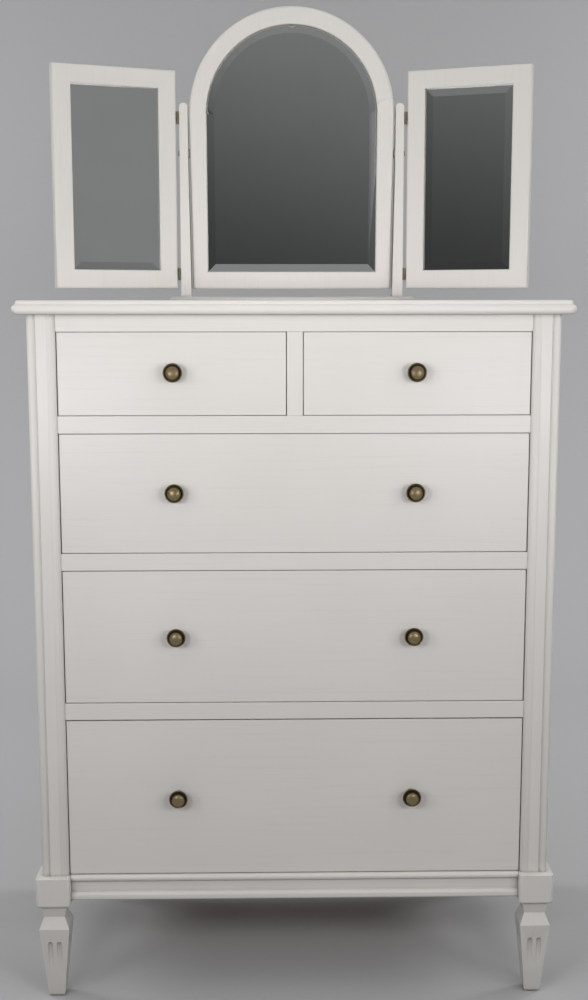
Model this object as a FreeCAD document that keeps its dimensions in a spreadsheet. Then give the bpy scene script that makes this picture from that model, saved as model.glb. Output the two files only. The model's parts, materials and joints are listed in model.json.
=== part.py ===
import FreeCAD, Part

import math
import os
import re

import Sketcher
from FreeCAD import Placement, Rotation, Vector

# A tall chest of five drawers with a triple dressing mirror on its top.
# +X is the viewer's right, +Y points to the back and +Z is up, in millimetres.
# The origin is on the floor, under the middle of the object's outer box.

# Driving dimensions, one spreadsheet cell each.
SIZES = {
    # Carcass
    "body_width": 800,
    "body_depth": 420,
    "post_width": 42.5,
    "face_setback": 5,
    "rail_height": 26.5,
    "frieze_height": 25.5,
    "stile_width": 24,
    "bottom_row_height": 253.5,
    "middle_row_height": 210,
    "upper_row_height": 184,
    "top_row_height": 126,
    # Corner posts
    "bead_round": 5,
    "bead_width": 12,
    "bead_fall": 9.7,
    "groove_width": 2,
    "groove_depth": 3,
    "flat_recess": 0.8,
    "ovolo_width": 13,
    "ovolo_round": 10.6,
    "rear_round": 3,
    # Panels and the rails behind the drawers
    "panel_setback": 6,
    "panel_thickness": 16,
    "panel_groove": 8,
    "back_thickness": 5,
    "back_rebate": 10,
    "rear_rail_thickness": 20,
    # Top
    "top_overhang": 19,
    "top_rear_overhang": 10,
    "nose_height": 15,
    "nose_round": 7,
    "step_height": 6,
    "step_setback": 5.5,
    "step_round": 4,
    "top_corner_round": 10,
    # Legs
    "block_width": 54.5,
    "block_overhang": 9.5,
    "block_drop": 8.5,
    "block_bevel": 2,
    "block_round": 5,
    "neck_width": 32.5,
    "neck_top_width": 41,
    "neck_height": 18.5,
    "collar_height": 18.5,
    "foot_height": 118.5,
    "foot_top_width": 47.5,
    "knee_height": 66,
    "knee_width": 37.5,
    "ankle_height": 28,
    "ankle_width": 30,
    "tip_width": 24.5,
    "tip_round": 5.5,
    "flute_radius": 4.2,
    "flute_depth": 4.6,
    "flute_spacing": 14.2,
    "flute_top": 93,
    "flute_bottom": 46,
    # Plinth
    "plinth_lower_bead": 13.5,
    "plinth_band": 17,
    "plinth_upper_bead": 11,
    "plinth_recess": 6,
    "plinth_foot_round": 4,
    # Runners, stops and battens
    "runner_height": 18,
    "runner_ledge": 15,
    "guide_height": 15,
    "stop_width": 40,
    "stop_depth": 12,
    "stop_height": 8,
    "stop_offset": 175,
    # Drawers
    "front_thickness": 20,
    "front_gap": 1,
    "sill_gap": 0.5,
    "top_row_gap": 0.4,
    "upper_row_gap": 0.7,
    "middle_row_gap": 1.1,
    "bottom_row_gap": 1.9,
    "front_inset": 1.2,
    "front_round": 1.6,
    "wall_thickness": 12,
    "wall_drop": 10,
    "side_gap": 1.5,
    "running_gap": 0.3,
    "drawer_end_gap": 5,
    "bottom_thickness": 5,
    "bottom_raise": 10,
    "bottom_groove": 6,
    # Knobs
    "knob_offset": 182.5,
    "knob_rise": 2.5,
    "knob_reach": 27,
    "knob_width": 29.2,
    "knob_face_width": 20,
    "knob_stem_width": 11,
    "rose_width": 17,
    "rose_height": 2.5,
    "knob_rim_reach": 18.5,
    "knob_dish_reach": 16,
    "knob_rim_height": 2.5,
    "knob_dome": 2.5,
    "bolt_radius": 2,
    "bolt_clearance": 0.3,
    "bolt_bite": 12,
    "bolt_head_radius": 4,
    "bolt_head_height": 2.5,
    # Wood screws
    "screw_radius": 2,
    "screw_head_radius": 4,
    "screw_head_height": 3,
    "top_screw_bite": 14,
    "base_screw_bite": 5.5,
    "base_screw_offset": 120,
    "tack_radius": 1.25,
    "tack_head_radius": 2.5,
    "tack_head_height": 1.5,
    "tack_bite": 14,
    # Mirror stand
    "mirror_setback": 250,
    "base_width": 398,
    "base_depth": 150,
    "base_thickness": 7.2,
    "base_round": 5.5,
    "mirror_post_width": 14,
    "mirror_post_depth": 20,
    "mirror_post_foot_depth": 45,
    "mirror_post_swell": 3,
    "mirror_post_top": 322,
    "pivot_height": 242,
    "pivot_gap": 2.5,
    "pin_radius": 2.5,
    "pin_clearance": 0.05,
    "pin_bite": 12,
    "pin_head_radius": 4.5,
    "pin_head_height": 2,
    "washer_radius": 7,
    "washer_play": 0.3,
    # Mirror frames
    "tilt_angle": 3,
    "open_angle": 20,
    "frame_thickness": 18,
    "frame_round": 4,
    "lip_thickness": 5,
    "lip_bevel": 1.5,
    "rebate_width": 7,
    "glass_thickness": 4,
    "glass_play": 0.5,
    "glass_bevel": 19,
    "glass_bevel_depth": 0.8,
    "backing_thickness": 4,
    "centre_width": 337,
    "centre_foot_inset": 2.75,
    "centre_rise": 231,
    "centre_drop": 221,
    "centre_face": 28.3,
    "wing_width": 203.5,
    "wing_height": 352,
    "wing_lift": 21,
    "wing_face": 30,
    # Wing hinges
    "wing_gap": 4.5,
    "hinge_length": 20,
    "hinge_inset": 24,
    "knuckle_radius": 2,
    "knuckle_gap": 0.3,
    "leaf_thickness": 1,
    "leaf_depth": 13,
    "leaf_start": 2.6,
    "hinge_pin_radius": 0.9,
}

# Sizes and places that follow from the driving dimensions.
PLACES = {
    "half_width": "body_width / 2",
    "post_inner": "half_width - post_width",
    "post_depth": "block_width - block_overhang",
    "block_inner": "half_width + block_overhang - block_width",
    "panel_outer": "half_width - panel_setback",
    "panel_inner": "panel_outer - panel_thickness",
    "front_reach": "max(top_overhang; knob_reach - face_setback - front_inset)",
    "rear_reach": "body_depth + max(top_rear_overhang; block_overhang)",
    "front_plane": "(front_reach - rear_reach) / 2",
    "rear_plane": "front_plane + body_depth",
    "face_plane": "front_plane + face_setback",
    "drawer_face": "face_plane + front_inset",
    "rail_back": "front_plane + post_depth",
    "rear_post_front": "rear_plane - post_depth",
    "rear_rail_back": "rear_plane - back_thickness",
    "rear_rail_front": "rear_rail_back - rear_rail_thickness",
    "drawer_end": "rear_rail_front - drawer_end_gap",
    "block_bottom": "foot_height + collar_height + neck_height",
    "plinth_bottom": "block_bottom + block_drop",
    "plinth_height": "plinth_lower_bead + plinth_band + plinth_upper_bead",
    "carcass_bottom": "plinth_bottom + plinth_height",
    "middle_row_floor": "carcass_bottom + bottom_row_height + rail_height",
    "upper_row_floor": "middle_row_floor + middle_row_height + rail_height",
    "top_row_floor": "upper_row_floor + upper_row_height + rail_height",
    "frieze_bottom": "top_row_floor + top_row_height",
    "top_underside": "frieze_bottom + frieze_height",
    "top_surface": "top_underside + nose_height + step_height",
    "carcass_height": "top_underside - carcass_bottom",
    "side_run": "rear_post_front - rail_back",
    "mirror_front": "front_plane + mirror_setback",
    "mirror_centre": "mirror_front + mirror_post_depth / 2",
    "mirror_post_inner": "centre_width / 2 + pivot_gap",
    "mirror_post_outer": "mirror_post_inner + mirror_post_width",
    "hinge_place": "mirror_post_outer + wing_gap / 2",
    "wing_bottom": "top_surface + wing_lift",
    "pivot_level": "top_surface + pivot_height",
    "upper_hinge_level": "top_surface + mirror_post_top - hinge_inset",
    "lower_hinge_level": "wing_bottom + hinge_inset",
    "glass_place": "lip_thickness",
    "backing_place": "lip_thickness + glass_thickness",
}

# Levels and widths of the foot, upwards.
FOOT_SECTIONS = [
    ("ankle_height", "ankle_width"),
    ("knee_height", "knee_width"),
    ("foot_height", "foot_top_width"),
]

NODE_FOLDER = "parts"
BASE_PLANES = {"top": "XY_Plane", "front": "XZ_Plane", "side": "YZ_Plane"}
ACROSS = Vector(1, 0, 0)
BACK = Vector(0, 1, 0)
UP = Vector(0, 0, 1)
FULL_TURN = 360
LEG_FACES = 4
NEAR = 0.001

document = FreeCAD.newDocument("DressingChest")
nodes = {}


def fill_sheet(label, rows):
    """Make a spreadsheet with one aliased cell for each row."""
    sheet = document.addObject("Spreadsheet::Sheet", label)
    for line, (alias, content) in enumerate(rows, start=1):
        sheet.set(f"A{line}", alias)
        sheet.set(f"B{line}", content)
        sheet.setAlias(f"B{line}", alias)
    document.recompute()
    return sheet


def scoped(formula, places="Places."):
    """Spell out the sheet of every size and place that a formula names."""
    def spell(match):
        word = match.group(0)
        if word in SIZES:
            return "Sizes." + word
        if word in PLACES:
            return places + word
        return word
    return re.sub(r"[a-z]\w*", spell, formula)


def number(formula):
    """Work out a formula of sizes and places as a plain number."""
    return float(document.getObject("Sizes").evalExpression(scoped(formula)))


def bind(thing, **formulas):
    """Bind properties of an object to formulas."""
    for name, formula in formulas.items():
        thing.setExpression(name, scoped(formula))


def place(thing, x="0", y="0", z="0"):
    """Bind the position of an object to formulas."""
    for axis, formula in (("x", x), ("y", y), ("z", z)):
        thing.setExpression(f"Placement.Base.{axis}", scoped(formula))
    return thing


def turn(thing, axis, formula):
    """Turn an object about its own origin by an angle in degrees."""
    thing.Placement = Placement(Vector(), Rotation(axis, number(formula)))
    thing.setExpression("Placement.Rotation.Angle", scoped(formula))
    return thing


def node(thing, name):
    """Register an object as a named piece of the part."""
    thing.Label = name
    nodes[name] = thing
    return thing


def box(name, x, y, z, length, width, height):
    """A block from its low corner and its three sizes."""
    block = document.addObject("Part::Box", name)
    bind(block, Length=length, Width=width, Height=height)
    return place(block, x, y, z)


def span_box(name, x_span, y_span, z_span):
    """A block from the two ends of each of its sides."""
    low = [span[0] for span in (x_span, y_span, z_span)]
    sides = [f"({span[1]}) - ({span[0]})" for span in (x_span, y_span, z_span)]
    return box(name, *low, *sides)


def cylinder(name, radius, length, x="0", y="0", z="0", axis=UP):
    """A cylinder that starts at a point and runs along an axis."""
    rod = document.addObject("Part::Cylinder", name)
    bind(rod, Radius=radius, Height=length)
    rod.Placement = Placement(Vector(), Rotation(UP, axis))
    return place(rod, x, y, z)


def cone(name, start_radius, end_radius, length, x="0", y="0", z="0", axis=UP):
    """A cone that starts at a point and runs along an axis."""
    taper = document.addObject("Part::Cone", name)
    bind(taper, Radius1=start_radius, Radius2=end_radius, Height=length)
    taper.Placement = Placement(Vector(), Rotation(UP, axis))
    return place(taper, x, y, z)


def joined(name, pieces):
    """One solid made of several shapes."""
    whole = document.addObject("Part::MultiFuse", name)
    whole.Shapes = pieces
    whole.Refine = True
    return whole


def cut_from(name, base, tool):
    """A shape with another taken away."""
    result = document.addObject("Part::Cut", name)
    result.Base = base
    result.Tool = tool
    return result


def group(name, pieces):
    """Separate solids that share one node."""
    bundle = document.addObject("Part::Compound", name)
    bundle.Links = pieces
    return bundle


def new_body(name):
    """An empty body for sketched features."""
    return document.addObject("PartDesign::Body", name)


def new_sketch(body, plane, offset="0"):
    """A sketch on one of the body's own base planes, moved along the plane's normal."""
    sketch = body.newObject("Sketcher::SketchObject", body.Name + "_sketch")
    support = next(item for item in body.Origin.OriginFeatures if item.Role == BASE_PLANES[plane])
    sketch.AttachmentSupport = [(support, "")]
    sketch.MapMode = "FlatFace"
    sketch.setExpression("AttachmentOffset.Base.z", scoped(offset))
    return sketch


def arc_between(start, end, radius, side):
    """An arc from start to end whose centre lies to the left or right of the way."""
    chord = end - start
    middle = (start + end) / 2
    rise = math.sqrt(max(radius ** 2 - (chord.Length / 2) ** 2, 0))
    normal = Vector(-chord.y, chord.x, 0).normalize()
    centre = middle + normal * (rise if side == "left" else -rise)
    first, last = (start, end) if side == "left" else (end, start)
    angles = [math.atan2(point.y - centre.y, point.x - centre.x) for point in (first, last)]
    return Part.ArcOfCircle(Part.Circle(centre, UP, radius), *angles)


def outline(sketch, points):
    """Draw a closed outline, each corner bound to its formulas.

    A point is (x, y) after a straight line or (x, y, radius, side) after an arc.
    """
    corners = [Vector(number(point[0]), number(point[1]), 0) for point in points]
    count = len(points)
    first = sketch.GeometryCount
    ends = []
    for index in range(count):
        following = (index + 1) % count
        start, end = corners[index], corners[following]
        arriving = points[following][2:]
        if arriving:
            radius, side = arriving
            sketch.addGeometry(arc_between(start, end, number(radius), side))
            ends.append((1, 2) if side == "left" else (2, 1))
        else:
            sketch.addGeometry(Part.LineSegment(start, end))
            ends.append((1, 2))
    for index in range(count):
        following = (index + 1) % count
        sketch.addConstraint(Sketcher.Constraint(
            "Coincident", first + index, ends[index][1], first + following, ends[following][0]))
    for index, point in enumerate(points):
        for kind, formula in (("DistanceX", point[0]), ("DistanceY", point[1])):
            row = sketch.addConstraint(Sketcher.Constraint(
                kind, -1, 1, first + index, ends[index][0], number(formula)))
            sketch.setExpression(f"Constraints[{row}]", scoped(formula))
        arriving = point[2:]
        if arriving:
            arc = first + (index - 1) % count
            row = sketch.addConstraint(Sketcher.Constraint("Radius", arc, number(arriving[0])))
            sketch.setExpression(f"Constraints[{row}]", scoped(arriving[0]))
    return sketch


def circle(sketch, x, y, radius):
    """Draw a circle with its centre and radius bound to formulas."""
    centre = Vector(number(x), number(y), 0)
    index = sketch.addGeometry(Part.Circle(centre, UP, number(radius)))
    for kind, formula in (("DistanceX", x), ("DistanceY", y)):
        row = sketch.addConstraint(Sketcher.Constraint(kind, -1, 1, index, 3, number(formula)))
        sketch.setExpression(f"Constraints[{row}]", scoped(formula))
    row = sketch.addConstraint(Sketcher.Constraint("Radius", index, number(radius)))
    sketch.setExpression(f"Constraints[{row}]", scoped(radius))
    return sketch


def rectangle(low_x, high_x, low_y, high_y):
    """The corners of a rectangle, anticlockwise."""
    return [(low_x, low_y), (high_x, low_y), (high_x, high_y), (low_x, high_y)]


def mirrored(points, width):
    """The same outline seen in a mirror, inside the same width."""
    swapped = {"left": "right", "right": "left"}
    result = []
    for point in points:
        arriving = (point[2], swapped[point[3]]) if len(point) > 2 else ()
        result.append((f"({width}) - ({point[0]})", point[1], *arriving))
    return result


def pad(body, sketch, length, reverse=False):
    """Raise a sketch into a solid and add it to the body."""
    feature = body.newObject("PartDesign::Pad", body.Name + "_pad")
    feature.Profile = sketch
    feature.Reversed = reverse
    bind(feature, Length=length)
    document.recompute()
    return feature


def pocket(body, sketch, length=None, reverse=False):
    """Cut a sketch out of the body, right through it if no length is given."""
    before = body.Shape.Volume
    feature = body.newObject("PartDesign::Pocket", body.Name + "_pocket")
    feature.Profile = sketch
    feature.Reversed = reverse
    if length is None:
        feature.Type = "ThroughAll"
    else:
        bind(feature, Length=length)
    document.recompute()
    if not body.Shape.Volume < before:
        raise RuntimeError(f"a pocket of {body.Name} cuts nothing")
    return feature


def edges_where(shape, wanted):
    """The names of the edges that a test accepts."""
    return [f"Edge{index}" for index, edge in enumerate(shape.Edges, start=1) if wanted(edge)]


def lies_in(edge, axis, level):
    """Whether an edge lies in a plane square to an axis."""
    bounds = edge.BoundBox
    low, high = getattr(bounds, axis + "Min"), getattr(bounds, axis + "Max")
    return abs(low - level) < NEAR and abs(high - level) < NEAR


def dress(body, kind, wanted, **formulas):
    """Round or bevel the edges of a body that a test accepts."""
    base = body.Tip
    names = edges_where(base.Shape, wanted)
    if not names:
        raise RuntimeError(f"no edge of {body.Name} to dress")
    feature = body.newObject("PartDesign::" + kind, f"{body.Name}_{kind.lower()}")
    feature.Base = (base, names)
    if "Size2" in formulas:
        feature.ChamferType = "Two distances"
    bind(feature, **formulas)
    document.recompute()
    return feature


def make_top_board():
    """The top: a round nose on three edges under a smaller step."""
    board = new_body("top_board")
    half_top, depth = "half_width + top_overhang", "body_depth + top_overhang + top_rear_overhang"

    def slab(inset):
        """Plan of a slab whose front corners are rounded, set in from the outer one."""
        side, corner = f"({half_top} - {inset})", f"(top_corner_round - {inset})"
        return [
            (f"{side} - {corner}", inset),
            (side, f"{inset} + {corner}", corner, "left"),
            (side, depth),
            (f"-{side}", depth),
            (f"-{side}", f"{inset} + {corner}"),
            (f"-{side} + {corner}", inset, corner, "left"),
        ]

    lower = outline(new_sketch(board, "top"), slab("0"))
    pad(board, lower, "nose_height")
    rear, nose, crown = (number(level) for level in (depth, "nose_height", "nose_height + step_height"))
    dress(board, "Fillet", lambda edge: not lies_in(edge, "Y", rear) and (
        lies_in(edge, "Z", 0) or lies_in(edge, "Z", nose)), Radius="nose_round")
    upper = outline(new_sketch(board, "top", "nose_height / 2"), slab("step_setback"))
    pad(board, upper, "nose_height / 2 + step_height")
    dress(board, "Fillet", lambda edge: not lies_in(edge, "Y", rear) and lies_in(edge, "Z", crown),
          Radius="step_round")
    place(board, y="front_plane - top_overhang", z="top_underside")
    node(board, "top_board")


def post_section(front):
    """Plan of the left corner post, from its outer edge inwards."""
    near, far = "panel_setback", "panel_setback + panel_thickness"
    if front:
        return [
            ("0", "post_depth"),
            ("0", "bead_round"),
            ("bead_round", "0", "bead_round", "left"),
            ("bead_width", "groove_depth", "bead_fall", "left"),
            ("bead_width + groove_width", "flat_recess"),
            ("post_width - ovolo_width", "flat_recess"),
            ("post_width", "face_setback", "ovolo_round", "left"),
            ("post_width", "post_depth"),
            (far, "post_depth"),
            (far, "post_depth - panel_groove"),
            (near, "post_depth - panel_groove"),
            (near, "post_depth"),
        ]
    return [
        ("0", "-post_depth"),
        (near, "-post_depth"),
        (near, "-post_depth + panel_groove"),
        (far, "-post_depth + panel_groove"),
        (far, "-post_depth"),
        ("post_width", "-post_depth"),
        ("post_width", "-back_thickness"),
        ("post_width - back_rebate", "-back_thickness"),
        ("post_width - back_rebate", "0"),
        ("rear_round", "0"),
        ("0", "-rear_round", "rear_round", "left"),
    ]


def make_posts():
    """The four corner posts that stand on the legs' blocks."""
    rear_pair = []
    for side, left in (("left", True), ("right", False)):
        for front in (True, False):
            points = post_section(front)
            if not left:
                points = mirrored(points, "post_width")
            post = new_body(("front" if front else "rear") + "_post_" + side)
            pad(post, outline(new_sketch(post, "top"), points), "carcass_height")
            x = "-half_width" if left else "post_inner"
            place(post, x, "front_plane" if front else "rear_plane", "carcass_bottom")
            if front:
                node(post, post.Name)
            else:
                rear_pair.append(post)
    node(group("rear_posts", rear_pair), "rear_posts")


def level_wire(low_x, high_x, low_y, high_y, level):
    """A level rectangular outline."""
    corners = [(low_x, low_y), (high_x, low_y), (high_x, high_y), (low_x, high_y), (low_x, low_y)]
    return Part.makePolygon([Vector(x, y, level) for x, y in corners])


def square_wire(width, level):
    """A level square outline round the upright axis."""
    half = width / 2
    return level_wire(-half, half, -half, half, level)


def leg_shape(front):
    """A front or rear leg on the left side, with the axis of its block upright at the origin."""
    bottom, block = number("block_bottom"), number("block_width")
    block_top, crown = number("carcass_bottom - block_bevel"), number("carcass_bottom")
    sections = [("0", "tip_width")] + FOOT_SECTIONS + [
        ("foot_height + collar_height", "neck_width"), ("block_bottom", "neck_top_width")]
    wires = [square_wire(number(width), number(level)) for level, width in sections]
    foot = Part.makeLoft(wires, True, True)
    foot = foot.makeFillet(number("tip_round"), [edge for edge in foot.Edges if lies_in(edge, "Z", 0)])
    corner = Vector(-block / 2, -block / 2, bottom)
    cube = Part.makeBox(block, block, block_top - bottom, corner)
    outer = number("block_overhang") - block / 2
    inner = block / 2 - number("post_inner - block_inner")
    depth_span = (outer, block / 2) if front else (-block / 2, -outer)
    cap = Part.makeLoft([square_wire(block, block_top), level_wire(outer, inner, *depth_span, crown)],
                        True, True)
    column = Part.makeBox(block, block, crown - bottom, corner)
    back = block / 2 if front else -block / 2

    def is_free(edge):
        """Whether an edge is rounded: all but the top ones and the one in the chest's inner corner."""
        inward = lies_in(edge, "X", block / 2) and lies_in(edge, "Y", back)
        return not lies_in(edge, "Z", crown) and not inward

    rounded = column.makeFillet(number("block_round"), [edge for edge in column.Edges if is_free(edge)])
    eased = rounded.common(cube.fuse(cap))
    return foot.fuse(eased).cut(flute_cutters()).removeSplitter()


def half_foot(level):
    """Half the foot's width at a level between two of its named sections."""
    steps = [(number(height), number(width) / 2) for height, width in FOOT_SECTIONS]
    for (low, narrow), (high, wide) in zip(steps, steps[1:]):
        if low <= level <= high:
            return narrow + (wide - narrow) * (level - low) / (high - low)
    raise RuntimeError("a flute ends beyond the foot")


def flute_cutters():
    """Round-ended gouges, two for each face of the foot, that fade out downwards."""
    radius, top, bottom = number("flute_radius"), number("flute_top"), number("flute_bottom")
    start = half_foot(top) + radius - number("flute_depth")
    end = half_foot(bottom) + radius
    tools = []
    for face in range(LEG_FACES):
        for offset in (number("-flute_spacing / 2"), number("flute_spacing / 2")):
            high, low = Vector(offset, -start, top), Vector(offset, -end, bottom)
            rod = Part.makeCylinder(radius, (low - high).Length, high, low - high)
            tool = rod.fuse(Part.makeSphere(radius, high))
            tool.rotate(Vector(), UP, face * FULL_TURN / LEG_FACES)
            tools.append(tool)
    return tools


def make_legs():
    """Four legs: block, neck, collar and tapered fluted foot in one piece."""
    rear_pair = []
    for front in (True, False):
        for side, sign in (("left", "-"), ("right", "")):
            shape = leg_shape(front)
            if not sign:
                shape = shape.mirror(Vector(), ACROSS)
            leg = document.addObject("Part::Feature", ("front" if front else "rear") + "_leg_" + side)
            leg.Shape = shape
            y = "front_plane - block_overhang + block_width / 2" if front else (
                "rear_plane + block_overhang - block_width / 2")
            place(leg, f"{sign}(block_inner + block_width / 2)", y)
            if front:
                node(leg, leg.Name)
            else:
                rear_pair.append(leg)
    node(group("rear_legs", rear_pair), "rear_legs")


def make_panels():
    """Side panels in the posts' grooves and the back in its rebates."""
    upright = ("carcass_bottom", "top_underside")
    run = ("rail_back - panel_groove", "rear_post_front + panel_groove")
    for side, span in (("left", ("-panel_outer", "-panel_inner")),
                       ("right", ("panel_inner", "panel_outer"))):
        node(span_box("side_panel_" + side, span, run, upright), "side_panel_" + side)
    reach = "post_inner + back_rebate"
    back = span_box("back_panel", (f"-({reach})", reach), ("rear_rail_back", "rear_plane"), upright)
    node(back, "back_panel")


def make_rails():
    """Rails and the centre stile of the front, and the rails at the back."""
    across = ("-post_inner", "post_inner")
    depth = ("face_plane", "rail_back")
    node(span_box("frieze_rail", across, depth, ("frieze_bottom", "top_underside")), "frieze_rail")
    rails = [span_box(f"drawer_rail_{name}", across, depth, (f"{name}_floor - rail_height", f"{name}_floor"))
             for name in ("middle_row", "upper_row", "top_row")]
    node(group("drawer_rails", rails), "drawer_rails")
    half = "stile_width / 2"
    stile = span_box("centre_stile", (f"-{half}", half), depth, ("top_row_floor", "frieze_bottom"))
    node(stile, "centre_stile")
    rear = ("rear_rail_front", "rear_rail_back")
    rear_rails = [
        span_box("rear_rail_upper", across, rear, ("frieze_bottom", "top_underside")),
        span_box("rear_rail_middle", across, rear, ("top_row_floor - rail_height", "top_row_floor")),
    ]
    node(group("rear_rails", rear_rails), "rear_rails")


def make_runners():
    """Runners with guide strips, drawer stops and the battens under the top."""
    run = ("rail_back", "rear_post_front")
    floors = ("carcass_bottom", "middle_row_floor", "upper_row_floor", "top_row_floor")
    runners, stops = [], []
    for floor in floors:
        for side, sign in (("left", "-"), ("right", "")):
            spans = [("post_inner - runner_ledge", "panel_inner"), ("post_inner", "panel_inner")]
            levels = [(f"{floor} - runner_height", floor), (floor, f"{floor} + guide_height")]
            pieces = []
            for name, span, level in zip(("ledge", "guide"), spans, levels):
                ends = [f"{sign}({end})" for end in span]
                ends = ends[::-1] if sign else ends
                pieces.append(span_box(f"{floor}_{side}_{name}", ends, run, level))
            runners.append(joined(f"{floor}_{side}_runner", pieces))
            centre = f"{sign}stop_offset"
            stops.append(box(f"{floor}_{side}_stop", f"{centre} - stop_width / 2",
                             "drawer_face + front_thickness", floor,
                             "stop_width", "stop_depth", "stop_height"))
    node(group("drawer_runners", runners), "drawer_runners")
    node(group("drawer_stops", stops), "drawer_stops")

    long_run = ("rail_back", "rear_rail_front")
    ledge = "stile_width / 2 + runner_ledge"
    half = "stile_width / 2"
    centre = joined("centre_runner", [
        span_box("centre_ledge", (f"-({ledge})", ledge), long_run,
                 ("top_row_floor - rail_height", "top_row_floor")),
        span_box("centre_guide", (f"-{half}", half), long_run,
                 ("top_row_floor", "top_row_floor + guide_height")),
    ])
    node(centre, "centre_runner")

    battens = []
    for side, ends in (("left", ("-panel_inner", "-(post_inner - runner_ledge)")),
                       ("right", ("post_inner - runner_ledge", "panel_inner"))):
        battens.append(span_box("batten_" + side, ends, run, ("frieze_bottom", "top_underside")))
    node(group("top_battens", battens), "top_battens")


def plinth_section(back):
    """Section of the plinth: two beads over and under a recessed band, back at a depth."""
    nose = "plinth_upper_bead / 2"
    shelf = "plinth_lower_bead + plinth_band"
    return [
        (back, "0"),
        (back, "plinth_height"),
        (nose, "plinth_height"),
        ("0", f"{shelf} + {nose}", nose, "left"),
        (nose, shelf, nose, "left"),
        ("plinth_recess", shelf),
        ("plinth_recess", "plinth_lower_bead"),
        ("0", "plinth_lower_bead - plinth_recess", "plinth_recess", "left"),
        ("0", "plinth_foot_round"),
        ("plinth_foot_round", "0", "plinth_foot_round", "left"),
    ]


def make_plinth():
    """Moulded plinth rails between the legs' blocks, and a plain one behind."""
    front = new_body("plinth_front")
    pad(front, outline(new_sketch(front, "side"), plinth_section("post_depth")), "2 * block_inner")
    place(front, "-block_inner", "front_plane", "plinth_bottom")
    node(front, "plinth_front")
    pair = []
    depth = "half_width - panel_inner"
    for side, left in (("left", True), ("right", False)):
        points = plinth_section(depth)
        if not left:
            points = mirrored(points, depth)
        rail = new_body("plinth_side_" + side)
        pad(rail, outline(new_sketch(rail, "front"), points), "side_run", reverse=True)
        place(rail, "-half_width" if left else "panel_inner", "rail_back", "plinth_bottom")
        pair.append(rail)
    node(group("plinth_sides", pair), "plinth_sides")
    rear = span_box("plinth_rear", ("-block_inner", "block_inner"),
                    ("rear_rail_front", "rear_rail_back"), ("plinth_bottom", "carcass_bottom"))
    node(rear, "plinth_rear")


def wood_screw(name, radius, head_radius, head_height, length, x, y, z, axis):
    """A countersunk screw whose head starts at a point."""
    head = cone(name + "_head", head_radius, radius, head_height, axis=axis)
    shank = cylinder(name + "_shank", radius, length, axis=axis)
    return place(joined(name, [head, shank]), x, y, z)


def make_screws():
    """Screws that hold the top and the mirror base, and tacks in the back panel."""
    section = ("screw_radius", "screw_head_radius", "screw_head_height")
    tops, rows = [], 3
    middle = "post_inner - runner_ledge + (panel_inner - post_inner + runner_ledge) / 2"
    for side, sign in (("left", "-"), ("right", "")):
        for row in range(rows):
            y = f"rail_back + side_run * {row + 1} / {rows + 1}"
            tops.append(wood_screw(f"top_screw_{side}_{row}", *section, "frieze_height + top_screw_bite",
                                   f"{sign}({middle})", y, "frieze_bottom", UP))
    node(group("top_screws", tops), "top_screws")
    bases = [wood_screw(f"base_screw_{side}", *section, "nose_height + step_height + base_screw_bite",
                        f"{sign}base_screw_offset", "mirror_centre", "top_underside", UP)
             for side, sign in (("left", "-"), ("right", ""))]
    node(group("mirror_base_screws", bases), "mirror_base_screws")
    tacks, levels = [], 5
    tack = ("tack_radius", "tack_head_radius", "tack_head_height")
    for side, sign in (("left", "-"), ("right", "")):
        for level in range(levels):
            z = f"carcass_bottom + carcass_height * ({level} + 1 / 2) / {levels}"
            tacks.append(wood_screw(f"back_screw_{side}_{level}", *tack, "back_thickness + tack_bite",
                                    f"{sign}(post_inner + back_rebate / 2)", "rear_plane", z, -BACK))
    node(group("back_screws", tacks), "back_screws")


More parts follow.
